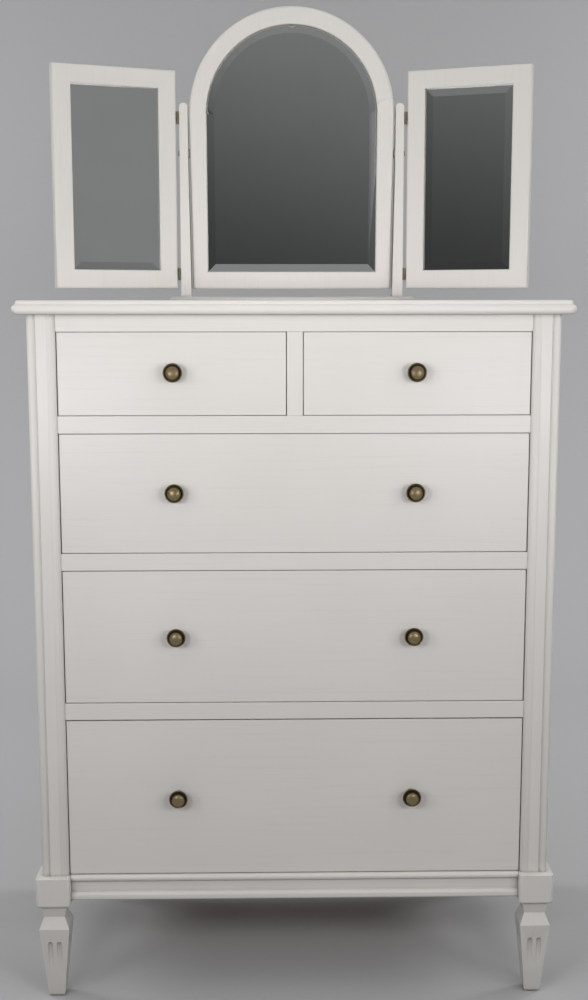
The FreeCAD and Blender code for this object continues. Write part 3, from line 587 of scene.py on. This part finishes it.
@dataclass(frozen=True)
class Fibre:
    """Pale washer fibre with small flecks."""

    name: str
    colour: Colour
    roughness: float = 0.7
    fleck_share: float = 0.8
    fleck_start: float = 0.35
    fleck_end: float = 0.6
    fleck: Pattern = Pattern(1500.0)
    fleck_depth: float = 0.00005

    def material(self) -> Material:
        """Build the fibre.

        Returns:
            The material.
        """
        shader = Shader(self.name)
        fleck = shader.noise(self.fleck)
        tone = shader.fade(fleck, darker(self.colour, self.fleck_share), self.colour, self.fleck_start,
                           self.fleck_end)
        return shader.finished(Base_Color=tone, Normal=shader.relief(fleck, self.fleck_depth),
                               Roughness=self.roughness)


Finish = Paint | BareWood | PressedBoard | MirrorGlass | AgedBrass | PlainMetal | Fibre


def made(finish: Finish) -> Material:
    """A field for a finish's material, which is built with the other finishes."""
    return field(default_factory=finish.material)


@dataclass
class Finishes:
    """All the finishes of the object, each built once."""

    paint_across: Material = made(Paint("paint_across", WHITE, WHITE_SHADE, Grain.ACROSS))
    paint_upright: Material = made(Paint("paint_upright", WHITE, WHITE_SHADE, Grain.UPRIGHT))
    paint_deep: Material = made(Paint("paint_deep", WHITE, WHITE_SHADE, Grain.DEEP))
    frame_paint: Material = made(Paint("frame_paint", FRAME_WHITE, FRAME_SHADE, Grain.UPRIGHT, 0.38))
    pine_across: Material = made(BareWood("pine_across", PINE_LIGHT, PINE_DARK, Grain.ACROSS))
    pine_deep: Material = made(BareWood("pine_deep", PINE_LIGHT, PINE_DARK, Grain.DEEP))
    plywood: Material = made(BareWood("plywood", (0.66, 0.52, 0.36), (0.56, 0.42, 0.27), Grain.DEEP, 9.0))
    board: Material = made(PressedBoard("board", (0.25, 0.155, 0.085), (0.19, 0.115, 0.06)))
    glass: Material = made(MirrorGlass("mirror_glass"))
    knob_brass: Material = made(AgedBrass("knob_brass", (0.38, 0.29, 0.155), (0.055, 0.043, 0.024)))
    hinge_brass: Material = made(PlainMetal("hinge_brass", (0.44, 0.39, 0.29), 0.5))
    steel: Material = made(PlainMetal("steel", (0.55, 0.55, 0.54), 0.3))
    fibre: Material = made(Fibre("fibre", (0.38, 0.37, 0.36)))


class Recipe(NodeTree):
    """A geometry tree with named inputs for its sizes."""

    def __init__(self, name: str, inputs: dict[str, Kind]) -> None:
        """Start a tree.

        Args:
            name: The tree's name.
            inputs: Each input's name with what it takes.
        """
        super().__init__(bpy.data.node_groups.new(name, "GeometryNodeTree"))
        face = self.tree.interface
        face.new_socket("Geometry", in_out="INPUT", socket_type="NodeSocketGeometry")
        self.ids = {label: face.new_socket(label, in_out="INPUT", socket_type=kind.value).identifier
                    for label, kind in inputs.items()}
        face.new_socket("Geometry", in_out="OUTPUT", socket_type="NodeSocketGeometry")
        self.source = self.add("NodeGroupInput")
        self.result = self.add("NodeGroupOutput")

    def size(self, label: str) -> Socket:
        """A named input of the tree."""
        return self.source.outputs[label]

    def share(self, label: str, share: float) -> Socket:
        """A share of a named input."""
        return self.reckon("MULTIPLY", self.size(label), share)

    def cylinder(self, sides: int, radius: str, depth: str) -> Socket:
        """A cylinder along Z about the origin.

        Args:
            sides: Number of its sides.
            radius: The input that holds its radius.
            depth: The input that holds its length.

        Returns:
            Its mesh.
        """
        node = self.feed(self.add("GeometryNodeMeshCylinder"), Vertices=sides, Radius=self.size(radius),
                         Depth=self.size(depth))
        return node.outputs["Mesh"]

    def turned(self, shape: Socket, turn: Point) -> Socket:
        """Turn a shape about the origin.

        Args:
            shape: The shape.
            turn: The turn in radians.

        Returns:
            The turned shape.
        """
        node = self.feed(self.add("GeometryNodeTransform"), Geometry=shape, Rotation=turn)
        return node.outputs["Geometry"]

    def moved(self, shape: Socket, **offset: Socket) -> Socket:
        """Shift a shape.

        Args:
            shape: The shape.
            **offset: How far, under the name of the axis.

        Returns:
            The shifted shape.
        """
        way = self.feed(self.add("ShaderNodeCombineXYZ"), **offset).outputs["Vector"]
        node = self.feed(self.add("GeometryNodeTransform"), Geometry=shape, Translation=way)
        return node.outputs["Geometry"]

    def together(self, *shapes: Socket) -> Socket:
        """Join shapes into one.

        Args:
            *shapes: The shapes in their order.

        Returns:
            The joined shape.
        """
        node = self.add("GeometryNodeJoinGeometry")
        for shape in reversed(shapes):
            self.join(shape, node.inputs[0])
        return node.outputs[0]

    def planted(self, shape: Socket, finish: str, **values: object) -> Socket:
        """Stand a shape at every point, realize it and give it a finish.

        Args:
            shape: The shape.
            finish: The input that holds its material.
            **values: Other inputs of the node that stands it there.

        Returns:
            The finished shapes.
        """
        stand = self.feed(self.add("GeometryNodeInstanceOnPoints"), Points=self.size("Geometry"),
                          Instance=shape, **values)
        solid = self.feed(self.add("GeometryNodeRealizeInstances"), Geometry=stand.outputs["Instances"])
        dressed = self.feed(self.add("GeometryNodeSetMaterial"), Geometry=solid.outputs["Geometry"],
                            Material=self.size(finish))
        return dressed.outputs["Geometry"]

    def end(self, shape: Socket) -> None:
        """Hand the shape to the tree's output."""
        self.join(shape, self.result.inputs[0])

    def grow(self, name: str, points: list[Point], **values: object) -> bpy.types.Object:
        """Run the tree on loose points and keep the plain result.

        Args:
            name: The new piece's name.
            points: The points that the tree starts from.
            **values: Input names, with spaces as underscores, and their values.

        Returns:
            An object with a plain, smoothly shaded mesh and no modifier.
        """
        host = bpy.data.meshes.new(name + "_places")
        host.from_pydata(points, [], [])
        seed = bpy.data.objects.new(name + "_places", host)
        bpy.context.scene.collection.objects.link(seed)
        modifier = seed.modifiers.new("recipe", "NODES")
        modifier.node_group = self.tree
        for label, value in values.items():
            modifier[self.ids[label.replace("_", " ")]] = value
        view = bpy.context.evaluated_depsgraph_get()
        mesh = bpy.data.meshes.new_from_object(seed.evaluated_get(view), preserve_all_data_layers=True,
                                               depsgraph=view)
        mesh.name = name
        smooth_by_angle(mesh)
        seed.modifiers.remove(modifier)
        bpy.data.objects.remove(seed)
        piece = bpy.data.objects.new(name, mesh)
        bpy.context.scene.collection.objects.link(piece)
        return piece


def smooth_by_angle(mesh: bpy.types.Mesh) -> None:
    """Shade a mesh smooth except across its sharp edges."""
    mesh.shade_smooth()
    mesh.set_sharp_from_angle(angle=math.radians(SMOOTH_ANGLE))


def spaced(low: float, high: float, count: int) -> list[float]:
    """Evenly spaced values from low to high."""
    return [low + (high - low) * step / (count - 1) for step in range(count)]


def lathe(name: str, profile: tuple[tuple[float, float, float], ...], steps: int) -> bpy.types.Object:
    """Turn a profile about the Y axis, front towards -Y.

    Args:
        name: The new object's name.
        profile: Points of (radius, reach to the front, patina) in millimetres, from the back
            of the axis to its front.
        steps: Sides of the turned shape.

    Returns:
        A closed solid of revolution, with the patina as an attribute.
    """
    mesh = bpy.data.meshes.new(name)
    build = bmesh.new()
    layer = build.verts.layers.float.new("patina")
    rings = []
    for radius, reach, patina in profile:
        ring = []
        for step in range(steps if radius else 1):
            angle = 2 * math.pi * step / steps
            vert = build.verts.new((radius * MILLIMETRE * math.cos(angle), -reach * MILLIMETRE,
                                    radius * MILLIMETRE * math.sin(angle)))
            vert[layer] = patina
            ring.append(vert)
        rings.append(ring)
    for lower, upper in zip(rings, rings[1:]):
        for step in range(steps):
            following = (step + 1) % steps
            around = [lower[step % len(lower)], lower[following % len(lower)],
                      upper[following % len(upper)], upper[step % len(upper)]]
            # A ring of one point gives the same corner twice, and the face is then a triangle.
            build.faces.new(list(dict.fromkeys(around)))
    bmesh.ops.recalc_face_normals(build, faces=build.faces)
    build.to_mesh(mesh)
    build.free()
    smooth_by_angle(mesh)
    return bpy.data.objects.new(name, mesh)


@dataclass
class Part:
    """A sub-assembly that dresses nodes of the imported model."""

    finishes: Finishes
    nodes: dict[str, bpy.types.Object]

    def paint(self, material: Material, ease: float, *names: str) -> None:
        """Give nodes their finish, and ease their sharp edges.

        Args:
            material: The finish.
            ease: Width of the eased edges in millimetres, or 0 for none.
            *names: The nodes' names.
        """
        for name in names:
            piece = self.nodes[name]
            piece.data.materials.clear()
            piece.data.materials.append(material)
            weld = piece.modifiers.new("weld", "WELD")
            weld.merge_threshold = WELD_DISTANCE
            if ease:
                self.ease(piece, ease * MILLIMETRE)
            log.info("%s finished in %s", name, material.name)

    def ease(self, piece: bpy.types.Object, width: float) -> None:
        """Round a piece's sharp edges.

        Args:
            piece: The piece.
            width: Width of the rounding in metres.
        """
        flat = piece.modifiers.new("flat", "DECIMATE")
        flat.decimate_type = "DISSOLVE"
        flat.angle_limit = math.radians(FLAT_ANGLE)
        ease = piece.modifiers.new("ease", "BEVEL")
        ease.width = width
        ease.segments = EASE_STEPS
        ease.limit_method = "ANGLE"
        ease.angle_limit = math.radians(EASE_ANGLE)
        ease.use_clamp_overlap = True
        ease.harden_normals = False

    def settle(self, piece: bpy.types.Object, body: str, slot: str, *names: str) -> None:
        """Let a new piece ride on a body in the place of its nodes.

        Args:
            piece: The new piece.
            body: The body that carries it.
            slot: The record's finish that it takes; not used.
            *names: The nodes that it stands for.
        """
        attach(piece, body)
        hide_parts(*names)
        log.info("%s stands for %s on %s", piece.name, ", ".join(names), body)


@dataclass
class Carcass(Part):
    """Posts, rails, panels, top, plinth and legs."""

    eased_rail: float = 0.6
    eased_post: float = 0.5
    eased_leg: float = 0.9
    eased_panel: float = 0.4

    def dress(self) -> None:
        """Finish every wooden piece of the carcass."""
        looks = self.finishes
        self.paint(looks.paint_upright, self.eased_post, "front_post_left", "front_post_right",
                   "rear_posts")
        self.paint(looks.paint_upright, self.eased_leg, "front_leg_left", "front_leg_right", "rear_legs")
        self.paint(looks.paint_upright, self.eased_panel, "side_panel_left", "side_panel_right")
        self.paint(looks.paint_across, self.eased_rail, "top_board", "frieze_rail", "drawer_rails",
                   "plinth_front")
        self.paint(looks.paint_upright, self.eased_rail, "centre_stile")
        self.paint(looks.paint_deep, self.eased_rail, "plinth_sides")
        self.paint(looks.pine_across, self.eased_rail, "rear_rails", "plinth_rear", "drawer_stops")
        self.paint(looks.pine_deep, self.eased_rail, "centre_runner", "drawer_runners", "top_battens")
        self.paint(looks.board, 0.0, "back_panel")


@dataclass
class Drawers(Part):
    """Painted fronts on bare boxes."""

    eased_wall: float = 0.5

    def dress(self) -> None:
        """Finish the fronts, the boxes and their bottoms."""
        for body in DRAWERS:
            self.paint(self.finishes.paint_across, 0.0, body + "_front")
            self.paint(self.finishes.pine_deep, self.eased_wall, body + "_walls")
            self.paint(self.finishes.plywood, 0.0, body + "_bottom")


@dataclass
class Knobs(Part):
    """Turned brass knobs with the bolts that hold them, in millimetres.

    The profile gives radius, reach to the front and patina, from the drawer's face to the tip.
    """

    profile: tuple[tuple[float, float, float], ...] = (
        (0.0, 0.0, 0.9), (8.5, 0.0, 0.9), (8.5, 1.5, 0.7), (8.1, 2.2, 0.6), (6.4, 2.7, 0.9),
        (5.6, 4.2, 1.0), (5.6, 6.2, 1.0), (6.5, 8.6, 0.95), (8.6, 10.9, 0.9), (11.4, 13.2, 0.85),
        (13.4, 15.0, 0.75), (14.3, 16.2, 0.5), (14.6, 17.3, 0.35), (14.5, 18.0, 0.25), (14.1, 18.45, 0.15),
        (13.6, 18.35, 0.15), (12.9, 17.7, 0.25), (12.0, 16.9, 0.45), (11.1, 16.3, 0.8), (10.3, 16.1, 1.0),
        (9.9, 16.6, 1.0), (9.85, 19.0, 1.0), (9.95, 22.2, 0.85), (10.0, 23.4, 0.6), (9.7, 24.3, 0.4),
        (9.0, 25.0, 0.3), (7.8, 25.65, 0.25), (6.2, 26.2, 0.24), (4.2, 26.65, 0.25), (2.1, 26.92, 0.28),
        (0.0, 27.0, 0.3))
    knob_sides: int = 48
    bolt_radius: float = 2.0
    bolt_sides: int = 20
    bolt_head: float = 4.0
    bolt_head_height: float = 2.5
    bolt_head_sides: int = 28
    front_thickness: float = 20.0
    place_digits: int = 5

    def recipe(self) -> Recipe:
        """Build a knob with its bolt behind it.

        Returns:
            The tree, which stands both at every point of the drawer's face.
        """
        tree = Recipe("bolted_knob", {
            "Knob": Kind.OBJECT, "Bolt radius": Kind.NUMBER, "Head radius": Kind.NUMBER,
            "Head height": Kind.NUMBER, "Front thickness": Kind.NUMBER, "Knob finish": Kind.MATERIAL,
            "Bolt finish": Kind.MATERIAL})
        knob = tree.feed(tree.add("GeometryNodeObjectInfo", transform_space="ORIGINAL"),
                         Object=tree.size("Knob"))
        turn = (math.pi / 2, 0.0, 0.0)
        shank = tree.turned(tree.cylinder(self.bolt_sides, "Bolt radius", "Front thickness"), turn)
        head = tree.turned(tree.cylinder(self.bolt_head_sides, "Head radius", "Head height"), turn)
        past = tree.reckon("ADD", tree.size("Front thickness"), tree.share("Head height", 0.5))
        bolt = tree.together(tree.moved(shank, Y=tree.share("Front thickness", 0.5)),
                             tree.moved(head, Y=past))
        tree.end(tree.together(tree.planted(knob.outputs["Geometry"], "Knob finish"),
                               tree.planted(bolt, "Bolt finish")))
        return tree

    def dress(self) -> None:
        """Grow the knobs of every drawer."""
        tree = self.recipe()
        knob = lathe("knob_pattern", self.profile, self.knob_sides)
        for body in DRAWERS:
            name = body + "_knobs"
            low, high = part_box(name)
            half = (high[2] - low[2]) / 2
            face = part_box(body + "_front")[0][1]
            # A small drawer has one knob, so both ends of its box give the same centre.
            ends = (low[0] + half, high[0] - half)
            centres = sorted({round(end, self.place_digits) for end in ends})
            piece = tree.grow(name + "_turned", [(x, face, low[2] + half) for x in centres], Knob=knob,
                              Bolt_radius=self.bolt_radius * MILLIMETRE,
                              Head_radius=self.bolt_head * MILLIMETRE,
                              Head_height=self.bolt_head_height * MILLIMETRE,
                              Front_thickness=self.front_thickness * MILLIMETRE,
                              Knob_finish=self.finishes.knob_brass, Bolt_finish=self.finishes.steel)
            self.settle(piece, body, "antique_brass", name)
        bpy.data.objects.remove(knob)


@dataclass(frozen=True)
class ScrewSize:
    """A countersunk screw's radii and the height of its head, in millimetres."""

    shank: float
    head: float
    head_height: float


@dataclass
class Fasteners(Part):
    """Countersunk screws and tacks, all grown by one recipe.

    A block cuts the slot. Its width and length are shares of the head's radius, and its height,
    half of which lies in the head, is a share of the head's height.
    """

    screw: ScrewSize = ScrewSize(2.0, 4.0, 3.0)
    tack: ScrewSize = ScrewSize(1.25, 2.5, 1.5)
    head_sides: int = 32
    shank_sides: int = 24
    slot_width_share: float = 0.22
    slot_length_share: float = 3.0
    slot_depth_share: float = 0.8
    top_rows: int = 3
    back_levels: int = 5

    def recipe(self) -> Recipe:
        """Build the screw, a slotted cone for its head on a round shank.

        Returns:
            The tree, which stands a screw at every point with its head at the point.
        """
        tree = Recipe("countersunk_screw", {
            "Head radius": Kind.NUMBER, "Shank radius": Kind.NUMBER, "Head height": Kind.NUMBER,
            "Length": Kind.NUMBER, "Slot width": Kind.NUMBER, "Turn": Kind.VECTOR,
            "Finish": Kind.MATERIAL})
        head = tree.feed(tree.add("GeometryNodeMeshCone"), Vertices=self.head_sides,
                         Radius_Top=tree.size("Shank radius"), Radius_Bottom=tree.size("Head radius"),
                         Depth=tree.size("Head height"))
        shank = tree.moved(tree.cylinder(self.shank_sides, "Shank radius", "Length"),
                           Z=tree.share("Length", 0.5))
        slot_size = tree.feed(tree.add("ShaderNodeCombineXYZ"), Y=tree.size("Slot width"),
                              X=tree.share("Head radius", self.slot_length_share),
                              Z=tree.share("Head height", self.slot_depth_share))
        slot = tree.feed(tree.add("GeometryNodeMeshCube"), Size=slot_size.outputs["Vector"])
        cut = tree.feed(tree.add("GeometryNodeMeshBoolean", operation="DIFFERENCE"),
                        Mesh_1=head.outputs["Mesh"], Mesh_2=slot.outputs["Mesh"])
        screw = tree.together(cut.outputs["Mesh"], shank)
        tree.end(tree.planted(screw, "Finish", Rotation=tree.size("Turn")))
        return tree

    def spread(self, name: str, size: ScrewSize) -> tuple[Vector, Vector]:
        """Find the lowest and the highest screw centre of a node, from the node's box.

        Args:
            name: The node.
            size: The sizes of its screws.

        Returns:
            The two centres.
        """
        low, high = (Vector(corner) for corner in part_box(name))
        head = size.head * MILLIMETRE
        inset = Vector((head, head, head))
        return low + inset, high - inset

    def dress(self) -> None:
        """Grow the screws of the top, of the mirror's base and of the back."""
        tree = self.recipe()
        low, high = self.spread("top_screws", self.screw)
        rows = spaced(low.y, high.y, self.top_rows)
        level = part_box("top_screws")[0][2]
        self.grow(tree, "top_screws", [(x, y, level) for x in (low.x, high.x) for y in rows],
                  self.screw, Outward.DOWN)
        low, high = self.spread("mirror_base_screws", self.screw)
        middle = (low.y + high.y) / 2
        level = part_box("mirror_base_screws")[0][2]
        self.grow(tree, "mirror_base_screws", [(x, middle, level) for x in (low.x, high.x)],
                  self.screw, Outward.DOWN)
        low, high = self.spread("back_screws", self.tack)
        levels = spaced(low.z, high.z, self.back_levels)
        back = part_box("back_screws")[1][1]
        self.grow(tree, "back_screws", [(x, back, z) for x in (low.x, high.x) for z in levels],
                  self.tack, Outward.BACK)

    def grow(self, tree: Recipe, name: str, points: list[Point], size: ScrewSize,
             facing: Outward) -> None:
        """Stand screws at points and let them take a node's place.

        Args:
            tree: The screw's recipe.
            name: The node.
            points: Where the heads lie.
            size: The screws' sizes.
            facing: The way that the heads face.
        """
        low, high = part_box(name)
        head = size.head * MILLIMETRE
        piece = tree.grow(name + "_detailed", points, Head_radius=head,
                          Shank_radius=size.shank * MILLIMETRE, Head_height=size.head_height * MILLIMETRE,
                          Length=high[facing.axis] - low[facing.axis],
                          Slot_width=head * self.slot_width_share, Turn=facing.turn,
                          Finish=self.finishes.steel)
        self.settle(piece, "carcass", "screw_steel", name)


@dataclass
class DressingMirror(Part):
    """The stand with its tilting arched mirror and its two wings."""

    eased_post: float = 1.6

    def dress(self) -> None:
        """Finish the stand, the frames, the glass and the small metal."""
        looks = self.finishes
        self.paint(looks.paint_across, 0.0, "mirror_base")
        self.paint(looks.frame_paint, self.eased_post, "mirror_posts")
        for mirror in ("centre", "wing_left", "wing_right"):
            self.paint(looks.frame_paint, 0.0, mirror + "_frame")
            self.paint(looks.glass, 0.0, mirror + "_glass")
            self.paint(looks.board, 0.0, mirror + "_backing")
        self.paint(looks.hinge_brass, 0.0, "pivot_pins", "hinge_post_leaves", "wing_left_hinge_leaves",
                   "wing_right_hinge_leaves")
        self.paint(looks.fibre, 0.0, "pivot_washers")


@dataclass(frozen=True)
class SoftBox:
    """A rectangular lamp with a white cloth front, which no camera sees.

    One that isn't reflected lights only dull surfaces and shows in no mirror. One that doesn't
    light gives reflections only.
    """

    name: str
    place: Point
    target: Point
    width: float
    height: float
    power: float
    spread: float = 180.0
    reflected: bool = True
    lights: bool = True

    def hang(self) -> None:
        """Hang the lamp at its place, turned to its target."""
        data = bpy.data.lights.new(self.name, "AREA")
        data.shape = "RECTANGLE"
        data.size = self.width
        data.size_y = self.height
        data.energy = self.power
        data.spread = math.radians(self.spread)
        lamp = bpy.data.objects.new(self.name, data)
        lamp.location = self.place
        lamp.rotation_euler = (Vector(self.target) - Vector(self.place)).to_track_quat("-Z", "Y").to_euler()
        lamp.visible_camera = False
        lamp.visible_glossy = self.reflected
        lamp.visible_diffuse = self.lights
        bpy.context.scene.collection.objects.link(lamp)


@dataclass(frozen=True)
class GreyFade:
    """A grey that goes from low to high while a value goes from start to end."""

    low: float
    high: float
    start: float
    end: float

    def grey(self, tree: NodeTree, value: Socket) -> Socket:
        """Build the fade.

        Args:
            tree: The tree that takes it.
            value: The value that it follows.

        Returns:
            The grey.
        """
        node = tree.feed(tree.add("ShaderNodeMapRange", interpolation_type="SMOOTHSTEP"), Value=value,
                         From_Min=self.start, From_Max=self.end, To_Min=self.low, To_Max=self.high)
        return node.outputs["Result"]


@dataclass
class Studio:
    """Pale floor and backdrop, soft lamps and the camera."""

    focal_pixels: float = 1310.0
    sensor_height: float = 36.0
    nearest: float = 0.01
    pitch: float = 8.2325
    yaw: float = 1.0412
    roll: float = 0.0475
    camera_place: Point = (-0.0373, -2.1742, 1.0898)
    floor_colour: Colour = (0.50, 0.503, 0.512)
    floor_bounce: Colour = (0.2, 0.2, 0.2)
    floor_roughness: float = 0.9
    paper: Pattern = Pattern(90.0)
    paper_share: float = 0.985
    floor_reach: float = 9.0
    bend_radius: float = 1.2
    bend_steps: int = 12
    wall_place: float = 2.6
    wall_height: float = 5.0
    air_around: GreyFade = GreyFade(0.13, 0.8, 0.2, 1.0)
    air_ahead: GreyFade = GreyFade(0.045, 0.24, -0.12, 0.2)
    air_lean: float = 0.25
    front_share: GreyFade = GreyFade(1.0, 0.0, -0.8, -0.35)
    lamps: tuple[SoftBox, ...] = (
        SoftBox("key", (-0.64, -1.5, 1.07), (-0.2, -0.2, 1.2), 0.32, 0.3, 4.1, 150.0, reflected=False),
        SoftBox("fill", (0.64, -1.5, 1.07), (0.2, -0.2, 1.2), 0.32, 0.3, 3.6, 150.0, reflected=False),
        SoftBox("crown", (0.0, -2.3, 1.25), (0.0, 0.0, 1.42), 0.3, 0.3, 0.55, 40.0, reflected=False),
        SoftBox("glint_left", (-0.6, -1.5, 0.86), (-0.2, -0.2, 0.8), 0.3, 0.2, 2.4, 150.0, lights=False),
        SoftBox("glint_right", (0.6, -1.5, 0.86), (0.2, -0.2, 0.8), 0.3, 0.2, 2.4, 150.0, lights=False),
        SoftBox("strip_left", (-1.85, -1.85, 1.35), (0.0, -0.2, 1.2), 0.75, 1.0, 4.4, 110.0,
                reflected=False),
        SoftBox("strip_right", (1.85, -1.85, 1.35), (0.0, -0.2, 1.2), 0.75, 1.0, 3.9, 110.0,
                reflected=False),
        SoftBox("wall_left", (-2.3, 0.9, 1.9), (0.3, 2.6, 0.9), 1.0, 1.0, 24.0),
        SoftBox("wall_right", (2.3, 0.9, 1.9), (-0.3, 2.6, 0.9), 1.0, 1.0, 24.0))

    def camera(self) -> None:
        """Set up the camera where the photograph was taken from."""
        data = bpy.data.cameras.new("portrait")
        data.sensor_fit = "VERTICAL"
        data.sensor_height = self.sensor_height
        data.sensor_width = self.sensor_height * PHOTO_WIDTH / PHOTO_HEIGHT
        data.lens = self.focal_pixels / PHOTO_HEIGHT * self.sensor_height
        data.clip_start = self.nearest
        pitch, yaw, roll = (math.radians(angle) for angle in (self.pitch, self.yaw, self.roll))
        forward = Vector((math.sin(yaw) * math.cos(pitch), math.cos(yaw) * math.cos(pitch),
                          -math.sin(pitch)))
        right = Vector((math.cos(yaw), -math.sin(yaw), 0.0))
        down = forward.cross(right)
        level_right = right * math.cos(roll) + down * math.sin(roll)
        level_down = down * math.cos(roll) - right * math.sin(roll)
        turn = Matrix((level_right, -level_down, -forward)).transposed()
        camera = bpy.data.objects.new("portrait", data)
        camera.matrix_world = Matrix.Translation(self.camera_place) @ turn.to_4x4()
        bpy.context.scene.collection.objects.link(camera)
        bpy.context.scene.camera = camera

    def section(self) -> list[tuple[float, float]]:
        """Draw the floor's section up the backdrop.

        Returns:
            Its points as pairs of depth and height.
        """
        bend_start = self.wall_place - self.bend_radius
        points = [(-self.floor_reach, 0.0), (bend_start, 0.0)]
        for step in range(1, self.bend_steps + 1):
            angle = math.pi / 2 * step / self.bend_steps
            points.append((bend_start + self.bend_radius * math.sin(angle),
                           self.bend_radius * (1 - math.cos(angle))))
        return points + [(self.wall_place, self.wall_height)]

    def sweep(self) -> None:
        """Build the floor that bends up into the backdrop."""
        section = self.section()
        verts = [(side * self.floor_reach, y, z) for y, z in section for side in (-1, 1)]
        faces = [(2 * step, 2 * step + 1, 2 * step + 3, 2 * step + 2) for step in range(len(section) - 1)]
        mesh = bpy.data.meshes.new("sweep")
        mesh.from_pydata(verts, [], faces)
        mesh.shade_smooth()
        mesh.materials.append(self.sweep_paper())
        sweep = bpy.data.objects.new("sweep", mesh)
        bpy.context.scene.collection.objects.link(sweep)

    def sweep_paper(self) -> Material:
        """Build the paper of floor and backdrop.

        The camera and the mirrors see it pale, and it throws less light back at the object. A
        camera behind the backdrop sees through it.

        Returns:
            The material.
        """
        shader = Shader("sweep_paper")
        paper = shader.fade(shader.noise(self.paper), darker(self.floor_colour, self.paper_share),
                            self.floor_colour)
        path = shader.add("ShaderNodeLightPath").outputs
        seen = shader.reckon("ADD", path["Is Camera Ray"], path["Is Glossy Ray"], use_clamp=True)
        mix = shader.feed(shader.add("ShaderNodeMixShader"),
                          Fac=shader.add("ShaderNodeNewGeometry").outputs["Backfacing"])
        shader.join(shader.surface.outputs["BSDF"], mix.inputs[1])
        shader.join(shader.add("ShaderNodeBsdfTransparent").outputs["BSDF"], mix.inputs[2])
        shader.join(mix.outputs["Shader"], shader.output.inputs["Surface"])
        return shader.finished(Base_Color=shader.blend(seen, self.floor_bounce, paper),
                               Roughness=self.floor_roughness)

    def air(self) -> None:
        """Fill the surroundings with a pale light that grows upwards and is dim towards the front."""
        world = bpy.data.worlds.new("studio_air")
        world.use_nodes = True
        tree = NodeTree(world.node_tree)
        way = tree.feed(tree.add("ShaderNodeSeparateXYZ"),
                        Vector=tree.add("ShaderNodeTexCoord").outputs["Generated"]).outputs
        lean = tree.reckon("MULTIPLY_ADD", way["X"], self.air_lean, way["Z"])
        mix = tree.feed(tree.add("ShaderNodeMix"), Factor=self.front_share.grey(tree, way["Y"]),
                        A=self.air_around.grey(tree, way["Z"]), B=self.air_ahead.grey(tree, lean))
        sky = tree.feed(tree.add("ShaderNodeBackground"), Color=mix.outputs[0])
        tree.feed(tree.add("ShaderNodeOutputWorld"), Surface=sky.outputs["Background"])
        bpy.context.scene.world = world

    def build(self) -> None:
        """Set up floor, air, lamps, camera and the plain view."""
        self.sweep()
        self.air()
        for lamp in self.lamps:
            lamp.hang()
        self.camera()
        bpy.context.scene.view_settings.view_transform = "Standard"


def main() -> None:
    """Build every sub-assembly in order."""
    logging.basicConfig(level=logging.INFO, format="%(message)s")
    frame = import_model()
    Studio().build()
    finishes = Finishes()
    for part in (Carcass, Drawers, Knobs, Fasteners, DressingMirror):
        log.info("building %s", part.__name__)
        part(finishes, frame["nodes"]).dress()


if __name__ == "__main__":
    main()
